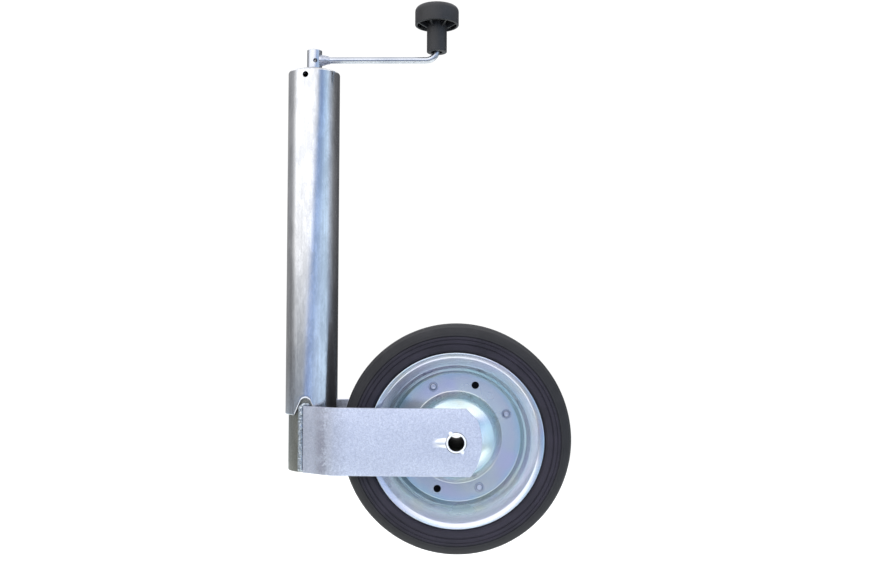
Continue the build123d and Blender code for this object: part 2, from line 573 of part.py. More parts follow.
# ---------------------------------------------------------------- solid tyre, gripped between the halves
with BuildPart() as tyre:
    # back of the sheet, where the rubber is seated
    root, foot = sheet_line[-4], wall[0]
    start = (0.35 * root[0] + 0.65 * foot[0], 0.35 * root[1] + 0.65 * foot[1])
    with BuildSketch(WHEEL_PLANE):
        with BuildLine():
            FilletPolyline(*[(r, -y) for r, y in [start] + wall], radius=sheet_bends[-2:])
            seat = offset(amount=half_t, side=Side.LEFT, closed=False)
            low, high = sorted((seat @ 0, seat @ 1), key=lambda v: v.X)
            # side wall and tread as (share of the way from rim to tread, share of half the width)
            rubber = TYRE_R - RIM_R
            shape = [(0.085, 0.976), (0.281, 0.997), (0.297, 0.986), (0.312, 0.998), (0.434, 1.0), (0.449, 0.988),
                     (0.465, 0.998), (0.531, 0.997), (0.555, 0.966), (0.582, 0.976), (0.719, 0.917),
                     (0.875, 0.8), (0.969, 0.569), (0.996, 0.31)]
            Polyline(high, (RIM_R + 0.5, -24.9), (RIM_R + 1.2, -26.8),
                     *[(RIM_R + a * rubber, -b * TYRE_HALF_W) for a, b in shape],
                     (TYRE_R, 0), (low.X, 0), low)
        make_face()
    revolve(axis=WHEEL_AXIS)
    mirror(about=Plane.XZ)
nodes["tyre"] = tyre

os.makedirs("parts", exist_ok=True)
for name, node in nodes.items():
    node.part.label = name
    export_step(node.part, f"parts/{name}.step")
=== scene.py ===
# Trailer tongue jack with a solid jockey wheel, dressed over its CAD frame.
# The frame is in metres with +Z up; the outlines below are in millimetres.
from math import acos, atan2, cos, hypot, pi, radians, sin, sqrt, tan

import bmesh
import bpy
from mathutils import Matrix, Vector, noise


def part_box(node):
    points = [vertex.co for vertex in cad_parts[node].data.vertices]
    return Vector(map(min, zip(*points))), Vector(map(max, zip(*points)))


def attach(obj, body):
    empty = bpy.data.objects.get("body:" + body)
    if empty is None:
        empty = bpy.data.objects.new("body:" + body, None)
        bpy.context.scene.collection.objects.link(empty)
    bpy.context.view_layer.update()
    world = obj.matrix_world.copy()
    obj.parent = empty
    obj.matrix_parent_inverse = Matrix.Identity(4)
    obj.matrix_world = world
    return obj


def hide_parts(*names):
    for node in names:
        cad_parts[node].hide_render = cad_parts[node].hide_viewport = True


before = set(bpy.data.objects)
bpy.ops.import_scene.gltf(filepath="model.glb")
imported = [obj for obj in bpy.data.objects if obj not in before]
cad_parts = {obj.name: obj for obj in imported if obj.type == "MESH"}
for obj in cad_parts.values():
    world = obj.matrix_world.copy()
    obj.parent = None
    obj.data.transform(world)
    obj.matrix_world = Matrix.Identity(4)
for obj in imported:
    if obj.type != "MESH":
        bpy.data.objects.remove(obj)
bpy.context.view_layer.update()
scene = bpy.context.scene

# ---------------------------------------------------------------- clamp tube
# The outer tube that the trailer's clamp grips: 48 mm drawn steel tube, bright zinc plated.
# Its top is rolled in over the bearing cap, and arched notches, sawn and filed in the lower
# edge and left bright there, drop over the fork's welds.
def made(name, points, faces, crease=32):
    """A piece from points in millimetres: doubles merged, faces outwards, smooth up to the crease angle."""
    mesh = bpy.data.meshes.new(name)
    mesh.from_pydata([Vector(p) * 0.001 for p in points], [], faces)
    work = bmesh.new()
    work.from_mesh(mesh)
    bmesh.ops.remove_doubles(work, verts=work.verts, dist=2e-7)
    bmesh.ops.recalc_face_normals(work, faces=work.faces)
    work.to_mesh(mesh)
    work.free()
    mesh.shade_smooth()
    mesh.set_sharp_from_angle(angle=radians(crease))
    piece = bpy.data.objects.new(name, mesh)
    scene.collection.objects.link(piece)
    return piece


def rounded(corners, closed=True, steps=6):
    """An outline whose corners (u, v, radius) are rounded; a corner with no radius stays sharp."""
    line, count = [], len(corners)
    for i, corner in enumerate(corners):
        here = Vector(corner[:2])
        if len(corner) < 3 or (not closed and i in (0, count - 1)):
            line.append(here)
            continue
        back = (Vector(corners[i - 1][:2]) - here).normalized()
        on = (Vector(corners[(i + 1) % count][:2]) - here).normalized()
        half = back.angle(on) / 2
        middle = here + (back + on).normalized() * corner[2] / sin(half)
        start, end = (here + way * corner[2] / tan(half) - middle for way in (back, on))
        sweep = start.angle(end)
        for k in range(steps + 1):
            t = k / steps
            line.append(middle + (start * sin((1 - t) * sweep) + end * sin(t * sweep)) / sin(sweep))
    return line


def turned(name, outline, steps=128, about=None, shape=None, span=None, crease=32):
    """Turn an outline of (radius, height) round the upright axis, or round a cross axis that
    passes through about = (x, z)."""
    rows, count = len(outline), steps + (1 if span else 0)
    start, end = span or (0, 2 * pi)
    points = []
    for k in range(count):
        turn = start + (end - start) * k / steps
        for radius, height in outline:
            if shape:
                radius, height = shape(radius, height, turn)
            across, up = radius * cos(turn), radius * sin(turn)
            points.append((about[0] + across, height, about[1] + up) if about else (across, up, height))
    faces = []
    for k in range(steps):
        for i in range(rows):
            a, b = k * rows, ((k + 1) % count) * rows
            j = (i + 1) % rows
            faces.append((a + i, b + i, b + j, a + j))
    if span:
        faces += [tuple(range(rows)), tuple(range(steps * rows, (steps + 1) * rows))]
    return made(name, points, faces, crease)


def bar(name, start, end, radius, edge=0.0, steps=48):
    """A round bar between two points, its ends broken by edge."""
    start, along = Vector(start), Vector(end) - Vector(start)
    far = along.length
    piece = turned(name, [(0, 0), (radius - edge, 0), (radius, edge), (radius, far - edge),
                          (radius - edge, far), (0, far)], steps)
    lean = along.to_track_quat("Z", "Y").to_matrix().to_4x4()
    piece.data.transform(Matrix.Translation(start * 0.001) @ lean)
    return piece


def worked(piece, tools, operation="DIFFERENCE", crease=32):
    """Cut the tools out of a piece, or weld them on, and throw the tools away."""
    for tool in tools:
        step = piece.modifiers.new("work", "BOOLEAN")
        step.operation, step.solver, step.object = operation, "EXACT", tool
    mesh = bpy.data.meshes.new_from_object(piece.evaluated_get(bpy.context.evaluated_depsgraph_get()))
    piece.modifiers.clear()
    piece.data = mesh
    mesh.shade_smooth()
    mesh.set_sharp_from_angle(angle=radians(crease))
    for tool in tools:
        bpy.data.objects.remove(tool)
    return piece


def tint(red, green, blue):
    """A colour from its 0-255 values."""
    shown = (red, green, blue)
    return tuple(((c / 255 + 0.055) / 1.055) ** 2.4 if c > 10 else c / 3294.6 for c in shown) + (1,)


def finish(name, metallic=0.0, **sockets):
    """A new material; returns it, its node tree and its shader."""
    material = bpy.data.materials.new(name)
    material.use_nodes = True
    shader = material.node_tree.nodes["Principled BSDF"]
    shader.inputs["Metallic"].default_value = metallic
    for socket, value in sockets.items():
        shader.inputs[socket.replace("_", " ")].default_value = value
    return material, material.node_tree, shader


def add(tree, kind, inputs=None, **settings):
    """A new node; each input is a value or the output that feeds it. Returns the outputs."""
    new = tree.nodes.new("ShaderNode" + kind)
    for key, value in settings.items():
        setattr(new, key, value)
    for socket, value in (inputs or {}).items():
        if isinstance(value, bpy.types.NodeSocket):
            tree.links.new(value, new.inputs[socket])
        else:
            new.inputs[socket].default_value = value
    return new.outputs


def grain(tree, scale, stretch=(1, 1, 1), detail=3.0, rough=0.55, place=None):
    """Random cloud over a piece, scale cells to the metre, drawn out along the axes by stretch."""
    place = place or add(tree, "TexCoord")["Object"]
    place = add(tree, "VectorMath", {0: place, 1: stretch}, operation="MULTIPLY")[0]
    return add(tree, "TexNoise", {"Vector": place, "Scale": scale, "Detail": detail, "Roughness": rough})[0]


def ramp(tree, factor, stops):
    """Colours or plain numbers at places from 0 to 1."""
    new = tree.nodes.new("ShaderNodeValToRGB")
    band = new.color_ramp
    while len(band.elements) < len(stops):
        band.elements.new(0.5)
    for element, (place, value) in zip(band.elements, stops):
        element.position = place
        element.color = value if isinstance(value, tuple) else (value, value, value, 1)
    tree.links.new(factor, new.inputs[0])
    return new.outputs[0]


def blend(tree, factor, one, two, mode="MIX"):
    """Mix two colours."""
    mix = tree.nodes.new("ShaderNodeMix")
    mix.data_type, mix.blend_type = "RGBA", mode
    for socket, value in ((0, factor), (6, one), (7, two)):
        if isinstance(value, bpy.types.NodeSocket):
            tree.links.new(value, mix.inputs[socket])
        else:
            mix.inputs[socket].default_value = value
    return mix.outputs[2]


def times(tree, one, two):
    """One value times another."""
    return add(tree, "Math", {0: one, 1: two}, operation="MULTIPLY")[0]


def between(tree, value, start, end):
    """0 up to start, rising to 1 at end."""
    return add(tree, "MapRange", {0: value, 1: start, 2: end})[0]


def relief(tree, shader, *layers):
    """Surface relief from (height, depth in millimetres) layers."""
    normal = None
    for height, depth in layers:
        inputs = {"Height": height, "Strength": 1.0, "Distance": depth * 0.001}
        if normal:
            inputs["Normal"] = normal
        normal = add(tree, "Bump", inputs)[0]
    tree.links.new(normal, shader.inputs["Normal"])


def zinc(name, stretch, pale, dull, gloss, fine=1.0, pits=0.010, streaks=0.0):
    """Bright zinc: drawn grain along stretch, soft clouds, small specks, scuffs and upright streaks."""
    material, tree, shader = finish(name, 1.0)
    speck = grain(tree, 1500, stretch, 4, 0.65)
    cloud = grain(tree, 26, (1, 1, 0.7), 3, 0.5)
    scuff = ramp(tree, grain(tree, 210, (1, 1, 0.25), 6, 0.75), [(0.60, 0.0), (0.72, 1.0)])
    colour = ramp(tree, cloud, [(0.3, tint(*dull)), (0.62, tint(*pale))])
    dots = ramp(tree, speck, [(0.35, 0.16), (0.6, 0.0)])
    colour = blend(tree, dots, colour, tint(*[c * 0.72 for c in dull]))
    colour = blend(tree, times(tree, scuff, 0.16), colour, tint(*[c * 0.8 for c in dull]))
    if streaks:
        blotch = ramp(tree, grain(tree, 85, (1, 1, 0.3), 5, 0.7), [(0.42, streaks * 1.4), (0.56, 0.0)])
        colour = blend(tree, blotch, colour, tint(*[c * 0.74 for c in dull]))
        drawn = ramp(tree, grain(tree, 520, (1, 1, 0.012), 4, 0.6), [(0.44, streaks * 0.7), (0.58, 0.0)])
        colour = blend(tree, drawn, colour, tint(*[c * 0.78 for c in dull]))
    tree.links.new(colour, shader.inputs["Base Color"])
    shine = ramp(tree, speck, [(0.3, gloss + 0.05), (0.7, gloss - 0.03)])
    shine = add(tree, "Math", {0: scuff, 1: 0.10, 2: shine}, operation="MULTIPLY_ADD")[0]
    tree.links.new(shine, shader.inputs["Roughness"])
    relief(tree, shader, (grain(tree, 620 * fine, stretch, 3, 0.6), pits), (cloud, 0.05))
    return material


def extent(node):
    """Lowest and highest corners of a CAD part, in millimetres."""
    return tuple(place * 1000 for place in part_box(node))


def fitted(piece, material, body, node):
    """Give a piece its finish, let it ride on its body, and hide the CAD part it replaces."""
    piece.data.materials.append(material)
    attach(piece, body)
    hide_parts(node)
    return piece


tube_low, tube_high = extent("outer_tube")
tube_r, tube_wall, lip_reach, lip_thick = tube_high.x, 2.5, 2.0, 1.4
tube_in = tube_r - tube_wall
notch_x, notch_half, notch_round, notch_tall = -2.0, 10.7, 5.4, 16.0
filed_wide, filed_deep = 1.5, 0.4
vent_turn, vent_r, vent_below = -10.7, 2.8, 6.6


def notch(x):
    """Height of the arched notch over the tube's lower edge."""
    reach, rise = abs(x - notch_x), notch_tall - notch_round
    turn = atan2(-rise, notch_half) + acos(notch_round / hypot(notch_half, rise))
    side_x, side_z = notch_round * cos(turn), rise + notch_round * sin(turn)
    if reach < side_x:
        return rise + sqrt(notch_round ** 2 - reach ** 2)
    return max(0.0, side_z * (notch_half - reach) / (notch_half - side_x))


def notched(radius, height, turn):
    """Lift the tube's lower edge to the notch, and file a bevel along it."""
    if height > tube_low.z + filed_wide + 0.1:
        return radius, height
    up = notch(radius * cos(turn))
    if radius > tube_in + 0.5:
        radius -= filed_deep * min(up / 2, 1) * (1 - (height - tube_low.z) / filed_wide)
    return radius, height + up


low, top = tube_low.z, tube_high.z
tube_line = rounded([(tube_r, low, 0.45), (tube_r, low + filed_wide), (tube_r, low + 19),
                     (tube_r, top - 60), (tube_r, top, 2.0), (tube_in - lip_reach, top, 0.5),
                     (tube_in - lip_reach, top - lip_thick), (tube_in, top - lip_thick),
                     (tube_in, low + 19), (tube_in, low + filed_wide), (tube_in, low, 0.3)])
clamp_tube = turned("clamp_tube", tube_line, 360, shape=notched)
out = Vector((sin(radians(vent_turn)), -cos(radians(vent_turn)), 0))
vent = [out * 15 + Vector((0, 0, top - vent_below)), out * 27 + Vector((0, 0, top - vent_below))]
worked(clamp_tube, [bar("vent_drill", *vent, vent_r)])
tube_zinc = zinc("drawn_tube_zinc", (1, 1, 0.35), (243, 244, 247), (226, 228, 233), 0.17, 1.0, 0.028, 0.30)
fitted(clamp_tube, tube_zinc, "clamp_tube_body", "outer_tube")
filed_zinc = zinc("filed_edge_zinc", (1, 1, 1), (246, 247, 250), (224, 226, 232), 0.5, 0.6, 0.05)
filed_zinc.node_tree.nodes["Principled BSDF"].inputs["Metallic"].default_value = 0.35
clamp_tube.data.materials.append(filed_zinc)
for face in clamp_tube.data.polygons:
    x, y, z = (c * 1000 for c in face.center)
    filed = low + 0.7 < z < low + notch(x) + filed_wide - 0.05
    if filed and hypot(x, y) > tube_in + 0.1 and notch(x) > 0.4:
        face.material_index = 1

# ---------------------------------------------------------------- bearing cap and washers
# A pressed steel cap sits in the top of the clamp tube and is held by the rolled-in lip. Its
# raised centre is the pocket of the thrust bearing, and a loose washer lies on it under the boss.
cap_low, cap_high = extent("bearing_cap")
cap_thick, cap_bore, crown_r, cap_rise = 2.2, 5.08, 14.25, 3.9
cap_out = cap_high.z - cap_rise
cap_line = rounded([(cap_bore, cap_high.z - cap_thick), (crown_r - cap_thick, cap_high.z - cap_thick),
                    (crown_r - cap_thick, cap_out - cap_thick),
                    (tube_in - cap_thick, cap_out - cap_thick, 0.8), (tube_in - cap_thick, cap_low.z, 0.3),
                    (tube_in, cap_low.z, 0.3), (tube_in, cap_out), (crown_r + 3, cap_out, 1.2),
                    (crown_r, cap_high.z, 0.9), (cap_bore, cap_high.z, 0.3)])
cap = turned("pressed_cap", cap_line, 160)
worked(cap, [bar("vent_drill", *vent, vent_r)])
small_zinc = zinc("small_parts_zinc", (1, 1, 1), (216, 219, 227), (190, 195, 206), 0.26, 1.4, 0.014)
fitted(cap, small_zinc, "clamp_tube_body", "bearing_cap")


def ring(name, node, bore, edge, material, body, about=None, steps=96):
    """A washer as large as its CAD node, with broken edges."""
    small, large = extent(node)
    radius = (large.x - small.x) / 2
    one, two = (small.y, large.y) if about else (small.z, large.z)
    piece = turned(name, rounded([(bore, one, edge / 2), (radius, one, edge), (radius, two, edge),
                                  (bore, two, edge / 2)], steps=3), steps, about)
    fitted(piece, material, body, node)
    return piece


ring("boss_washer_turned", "boss_washer", 5.5, 0.25, small_zinc, "clamp_tube_body")

# ---------------------------------------------------------------- spindle and thrust bearing
# The lifting screw: 16 mm steel with a square-shouldered 4 mm right-hand thread, turned down to a
# journal above its collar. It hangs on a ball thrust bearing, and a washer and a cross pin below
# stop it from leaving its nut.
def two_tone(tree, shader, cloud, dark, pale, rough, span=(0.3, 0.7)):
    """Colour from dark to pale, and roughness from its first value to its second, as a cloud drifts."""
    colour = ramp(tree, cloud, [(place, tint(*tone)) for place, tone in zip(span, (dark, pale))])
    tree.links.new(colour, shader.inputs["Base Color"])
    tree.links.new(ramp(tree, cloud, [(0.3, rough[0]), (0.7, rough[1])]), shader.inputs["Roughness"])


steel, tree, shader = finish("oiled_screw_steel", 1.0)
film = grain(tree, 45, (1, 1, 0.5), 4, 0.6)
two_tone(tree, shader, film, (150, 146, 138), (196, 196, 196), (0.40, 0.24))
relief(tree, shader, (grain(tree, 900, (1, 1, 4), 2), 0.006))

screw_low, screw_high = extent("spindle")
screw_r, collar_r, journal_r, pitch, thread_deep = 8.0, 9.5, 5.0, 4.0, 1.9
collar_low, collar_top = 145.3, 150.3
screw_line = [Vector((0, screw_low.z)), Vector((5.6, screw_low.z)), Vector((6.1, screw_low.z + 1.2))]
rows = int((collar_low - 4 - screw_low.z - 1.6) / 0.5)
screw_line += [Vector((screw_r, screw_low.z + 1.6 + 0.5 * k)) for k in range(rows + 1)]
screw_line += rounded([(6.0, collar_low - 3), (6.0, collar_low), (collar_r, collar_low, 0.5),
                       (collar_r, collar_top, 0.5), (journal_r, collar_top), (journal_r, screw_high.z, 0.6),
                       (0, screw_high.z)], closed=False)


def threaded(radius, height, turn):
    """Cut the thread where the outline is as wide as the screw."""
    if radius != screw_r:
        return radius, height
    along = (height / pitch - turn / (2 * pi)) % 1
    flank = min(max((abs(2 * along - 1) - 0.32) / 0.26, 0), 1)
    return screw_r - 0.05 - thread_deep * (1 - flank), height


screw = turned("lifting_screw", screw_line, 48, shape=threaded, crease=50)
fitted(screw, steel, "crank_body", "spindle")
ring("screw_stop_washer", "stop_washer", screw_r, 0.4, small_zinc, "crank_body")
pin_low, pin_high = extent("stop_pin")
pin_z = (pin_low.z + pin_high.z) / 2
stop = bar("screw_stop_pin", (0, pin_low.y, pin_z), (0, pin_high.y, pin_z), (pin_high.z - pin_low.z) / 2,
           0.5)
dark_steel, tree, shader = finish("oil_blacked_steel", 0.85)
film = grain(tree, 700, (1, 1, 1), 3)
two_tone(tree, shader, film, (52, 52, 56), (104, 104, 110), (0.5, 0.34), (0.35, 0.65))
relief(tree, shader, (film, 0.01))
fitted(stop, dark_steel, "crank_body", "stop_pin")

race_steel, tree, shader = finish("ground_race_steel", 1.0)
polish = grain(tree, 2600, (1, 1, 1), 2)
two_tone(tree, shader, polish, (176, 178, 184), (206, 208, 212), (0.16, 0.10))
relief(tree, shader, (polish, 0.002))
brass, tree, shader = finish("cage_brass_sheet", 1.0)
rolled = grain(tree, 400, (1, 4, 1), 4)
two_tone(tree, shader, rolled, (168, 128, 62), (214, 178, 104), (0.38, 0.26))
relief(tree, shader, (rolled, 0.008))


def coated(node, material):
    """Give a CAD part that keeps its shape a real finish."""
    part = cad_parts[node]
    part.data.materials.clear()
    part.data.materials.append(material)


for node in ("thrust_washer_top", "thrust_washer_bottom", "thrust_balls"):
    coated(node, race_steel)
coated("ball_cage", brass)

# ---------------------------------------------------------------- crank boss, spring pin and rod
# A short drilled bush is pinned across the top of the screw with a slotted spring pin. The crank
# is 6 mm round bar, bent up once at its far end and welded on to the side of the bush.
boss_low, boss_high = extent("crank_boss")
boss_r, boss_bore, cross_r, cross_turn, cross_sink = boss_high.x, 5.0, 2.0, 14.5, 0.4
rod_low, rod_high = extent("crank_rod")
rod_r = (rod_high.y - rod_low.y) / 2
rod_z, rod_x, rod_bend = rod_low.z + rod_r, rod_high.x - rod_r, 10.0
cross_z = rod_z - 1.7
boss = turned("crank_bush", rounded([(boss_bore, boss_low.z, 0.2), (boss_r, boss_low.z, 0.4),
                                     (boss_r, boss_high.z, 0.7), (boss_bore, boss_high.z, 0.4)]), 96)
across = Vector((sin(radians(cross_turn)), -cos(radians(cross_turn)), 0))
cross_at = Vector((0, 0, cross_z))
worked(boss, [bar("cross_drill", cross_at - across * 9, cross_at + across * 9, cross_r)])
fitted(boss, small_zinc, "crank_body", "crank_boss")

reach, cross_bore, half_slot = boss_r - cross_sink, 1.15, 0.28
pin_line = rounded([(cross_bore, -reach, 0.12), (cross_r, -reach, 0.3), (cross_r, reach, 0.3),
                    (cross_bore, reach, 0.12)], steps=3)
spring_pin = turned("slotted_spring_pin", pin_line, 36, span=(half_slot, 2 * pi - half_slot))
turn = across.to_track_quat("Z", "X").to_matrix().to_4x4()
spring_pin.data.transform(Matrix.Translation(cross_at * 0.001) @ turn)
fitted(spring_pin, dark_steel, "crank_body", "boss_cross_pin")


def swept(name, path, radii, steps=32, lump=None):
    """A round bar along a path of points, with a radius for each."""
    points = []
    for i, here in enumerate(path):
        ahead = (path[min(i + 1, len(path) - 1)] - path[max(i - 1, 0)]).normalized()
        one = Vector((0, 1, 0))
        two = ahead.cross(one).normalized()
        for k in range(steps):
            turn = 2 * pi * k / steps
            way = one * cos(turn) + two * sin(turn)
            radius = radii[i] + (lump(here + way * radii[i], i) if lump else 0)
            points.append(here + way * radius)
    faces = [tuple(range(steps)), tuple(range((len(path) - 1) * steps, len(path) * steps))]
    for i in range(len(path) - 1):
        for k in range(steps):
            j = (k + 1) % steps
            faces.append((i * steps + k, (i + 1) * steps + k, (i + 1) * steps + j, i * steps + j))
    return made(name, points, faces)


snap_z, snap_half = rod_high.z - 10.7, 1.4
line = rounded([(boss_r - 2, rod_z), (rod_x, rod_z, rod_bend), (rod_x, rod_high.z)], closed=False, steps=20)
line[1:1] = [line[0].lerp(line[1], k / 12) for k in range(1, 12)]
path = [Vector((p.x, 0, p.y)) for p in line[:-1]]
radii = [rod_r] * len(path)
for z, r in [(snap_z - snap_half - 0.01, rod_r), (snap_z - snap_half, rod_r - 0.4),
             (snap_z + snap_half, rod_r - 0.4), (snap_z + snap_half + 0.01, rod_r),
             (rod_high.z - 0.6, rod_r), (rod_high.z, rod_r - 0.6)]:
    path.append(Vector((rod_x, 0, z)))
    radii.append(r)
rod = swept("crank_bar", path, radii, 40)
fitted(rod, small_zinc, "crank_body", "crank_rod")

# ---------------------------------------------------------------- crank weld
# One lumpy run of weld round the bar where it meets the bush, zinc plated with the rest, with
# darker flux in its hollows.
def weld_metal(name, dull, pale):
    """Lumpy zinc plated weld with flux in its hollows."""
    material, tree, shader = finish(name, 1.0)
    lumps = grain(tree, 420, (1, 1, 1), 5, 0.7)
    flux = ramp(tree, grain(tree, 900, (1, 1, 1), 4, 0.7), [(0.30, 1.0), (0.46, 0.0)])
    tree.links.new(blend(tree, flux, ramp(tree, lumps, [(0.3, tint(*dull)), (0.65, tint(*pale))]),
                         tint(72, 72, 76)), shader.inputs["Base Color"])
    tree.links.new(ramp(tree, lumps, [(0.3, 0.42), (0.7, 0.24)]), shader.inputs["Roughness"])
    relief(tree, shader, (lumps, 0.22), (flux, -0.06))
    return material


crank_weld_zinc = weld_metal("plated_crank_weld", (160, 164, 178), (222, 226, 238))


def knobbly(size, cell):
    """Random lumps for a weld."""
    return lambda at, i: size * (noise.noise(at * cell) + 0.6 * noise.noise(at * cell * 2.7))


weld_line = [(5.0, 5.1), (6.0, 5.3), (7.0, 5.25), (8.0, 4.95), (9.0, 4.75), (10.0, 4.6), (11.0, 4.25),
             (12.0, 3.95), (13.0, 3.65), (14.0, 3.4), (14.8, 3.1), (15.0, 2.7)]
crank_weld = swept("crank_weld_run", [Vector((x, 0, rod_z)) for x, r in weld_line],
                   [r for x, r in weld_line], 40, knobbly(0.42, 0.45))
fitted(crank_weld, crank_weld_zinc, "crank_body", "crank_weld")

# ---------------------------------------------------------------- crank knob
# A black moulded knob that turns freely on the upright end of the bar: a plain sleeve below, and
# a hollow domed head stiffened by seven ribs. It snaps over a groove in the bar.
plastic, tree, shader = finish("black_moulded_plastic", 0.0, Specular_IOR_Level=0.5)
sheen = grain(tree, 2300, (1, 1, 1), 3, 0.6)
worn = grain(tree, 60, (1, 1, 1), 4, 0.6)
two_tone(tree, shader, worn, (26, 26, 28), (42, 42, 45), (0.44, 0.58))
relief(tree, shader, (sheen, 0.025), (worn, 0.04))

knob_low, knob_high = extent("crank_knob")
head_r = (knob_high.x - knob_low.x) / 2
sleeve_r, mouth_r, mouth_deep, knob_bore = 9.4, 5.2, 3.9, rod_r + 0.06
head_low, head_dome, head_edge, head_wall = knob_low.z + 25.2, 1.4, 5.0, 2.2
shoulder = knob_high.z - head_dome
under = shoulder - 2.8
dome_r = ((head_r - head_edge) ** 2 + head_dome ** 2) / (2 * head_dome)
dome = [(r, knob_high.z - dome_r + sqrt(dome_r ** 2 - r ** 2)) for r in (0.0, 3.0, 6.0, 9.0, 12.0)]
knob_line = rounded(
    [(0, rod_high.z + 0.6), (knob_bore, rod_high.z + 0.6), (knob_bore, knob_low.z + mouth_deep),
     (mouth_r, knob_low.z + mouth_deep - 1), (mouth_r, knob_low.z, 0.3), (sleeve_r, knob_low.z, 0.6),
     (sleeve_r, head_low + 2), (sleeve_r, under, 0.9), (head_r - head_wall, under, 0.9),
     (head_r - head_wall, head_low, 0.3), (head_r, head_low, 0.8), (head_r, shoulder - 6),
     (head_r, shoulder, head_edge)] + dome[::-1], steps=8)
knob = turned("moulded_knob", knob_line, 128)
ribs = []
for k in range(7):
    side = [(sleeve_r - 0.4, head_low - 2.5), (sleeve_r + 1.2, head_low - 2.5),
            (head_r - head_wall - 1.2, head_low + 0.8), (head_r - head_wall + 0.4, head_low + 0.8),
            (head_r - head_wall + 0.4, under + 0.4), (sleeve_r - 0.4, under + 0.4)]
    points = [(r, y, z) for y in (-0.75, 0.75) for r, z in side]
    faces = [tuple(range(6)), tuple(range(6, 12))]
    faces += [(i, (i + 1) % 6, (i + 1) % 6 + 6, i + 6) for i in range(6)]
    rib = made("rib", points, faces)
    rib.data.transform(Matrix.Rotation(radians(-161.5 + k * 360 / 7), 4, "Z"))
    ribs.append(rib)
worked(knob, ribs, "UNION")
knob.data.transform(Matrix.Translation((rod_x * 0.001, 0, 0)))
fitted(knob, plastic, "knob_body", "crank_knob")

# ---------------------------------------------------------------- inner tube and nut
# The 42 mm tube that slides inside the clamp tube and carries the fork. It is galvanised, duller
# and greener than the clamp tube, with the screw's nut pressed into its upper end.
inner_low, inner_high = extent("inner_tube")
inner_r, inner_in = inner_high.x, inner_high.x - 2.5
inner_tube = turned("sliding_tube", rounded([(inner_in, inner_low.z, 0.3), (inner_r, inner_low.z, 0.5),
                                             (inner_r, inner_low.z + 60), (inner_r, inner_high.z, 0.4),
                                             (inner_in, inner_high.z, 0.3)]), 192)
greased, tree, shader = finish("galvanised_sliding_tube", 1.0)
cloud = grain(tree, 60, (1, 1, 0.4), 5, 0.6)
speck = grain(tree, 1300, (1, 1, 0.6), 4, 0.65)
colour = ramp(tree, cloud, [(0.3, tint(128, 128, 122)), (0.7, tint(164, 163, 157))])
colour = blend(tree, ramp(tree, speck, [(0.35, 0.35), (0.6, 0.0)]), colour, tint(70, 71, 68))
tree.links.new(colour, shader.inputs["Base Color"])
tree.links.new(ramp(tree, speck, [(0.3, 0.48), (0.7, 0.36)]), shader.inputs["Roughness"])
relief(tree, shader, (speck, 0.02), (cloud, 0.06))
fitted(inner_tube, greased, "fork_body", "inner_tube")

nut_low, nut_high = extent("spindle_nut")
nut_bore = screw_r + 0.06
nut = turned("screw_nut", rounded([(nut_bore, nut_low.z, 0.3), (inner_in, nut_low.z, 0.6),
                                   (inner_in, inner_high.z), (inner_r, inner_high.z),
                                   (inner_r, nut_high.z, 0.9), (nut_bore, nut_high.z, 0.5)]), 96)
fitted(nut, steel, "fork_body", "spindle_nut")

# ---------------------------------------------------------------- fork arms
# Two 60 x 5 mm flat bars, cranked outwards once, clipped and rounded at the wheel end and hot-dip
# galvanised, which leaves them mottled. A pressed flute runs up to each axle hole.
tyre_low, tyre_high = extent("tyre")
axle_x, axle_z = (tyre_low.x + tyre_high.x) / 2, (tyre_low.z + tyre_high.z) / 2
arm_low, arm_high = extent("fork_arm_front")
arm_thick, arm_half, arm_slant, arm_start, bend_r = 5.0, (arm_high.z - arm_low.z) / 2, radians(26), -1.6, 8.0
flute_from, flute_to, flute_half, flute_rise, hole_r = 9.0, 21.5, 4.5, 1.0, 9.5
face_y = -arm_low.y - flute_rise
arm_y = face_y - arm_thick
start_y = sqrt(inner_r ** 2 - arm_start ** 2)
bend_x = arm_start + (arm_y - start_y) / tan(arm_slant) + bend_r * tan(arm_slant / 2)
leg = hypot(bend_x - bend_r * sin(arm_slant) - arm_start, arm_y - bend_r * (1 - cos(arm_slant)) - start_y)
curl = bend_r * arm_slant


def bent(along, out):
    """Place on the cranked bar, seen from above: distance along its inner face, and outwards from it."""
    if along < leg:
        x, y, lean = arm_start + along * cos(arm_slant), start_y + along * sin(arm_slant), arm_slant
    elif along < leg + curl:
        lean = arm_slant - (along - leg) / bend_r
        x, y = bend_x - bend_r * sin(lean), arm_y - bend_r * (1 - cos(lean))
    else:
        x, y, lean = bend_x + along - leg - curl, arm_y, 0
    return x - out * sin(lean), -(y + out * cos(lean))


def along_at(x):
    """Distance along the bar of a place on its straight part."""
    return x - bend_x + leg + curl


def three_point(a, b, c, steps):
    """Points on the arc from a through b to c."""
    a, b, c = Vector(a), Vector(b), Vector(c)
    d = 2 * (a.x * (b.y - c.y) + b.x * (c.y - a.y) + c.x * (a.y - b.y))
    mx = (a.dot(a) * (b.y - c.y) + b.dot(b) * (c.y - a.y) + c.dot(c) * (a.y - b.y)) / d
    my = (a.dot(a) * (c.x - b.x) + b.dot(b) * (a.x - c.x) + c.dot(c) * (b.x - a.x)) / d
    middle = Vector((mx, my))
    first, last = ((p - middle) for p in (a, c))
    one, two = atan2(first.y, first.x), atan2(last.y, last.x)
    turns = [one + (two - one) * k / steps for k in range(steps + 1)]
    return [middle + first.length * Vector((cos(turn), sin(turn))) for turn in turns]


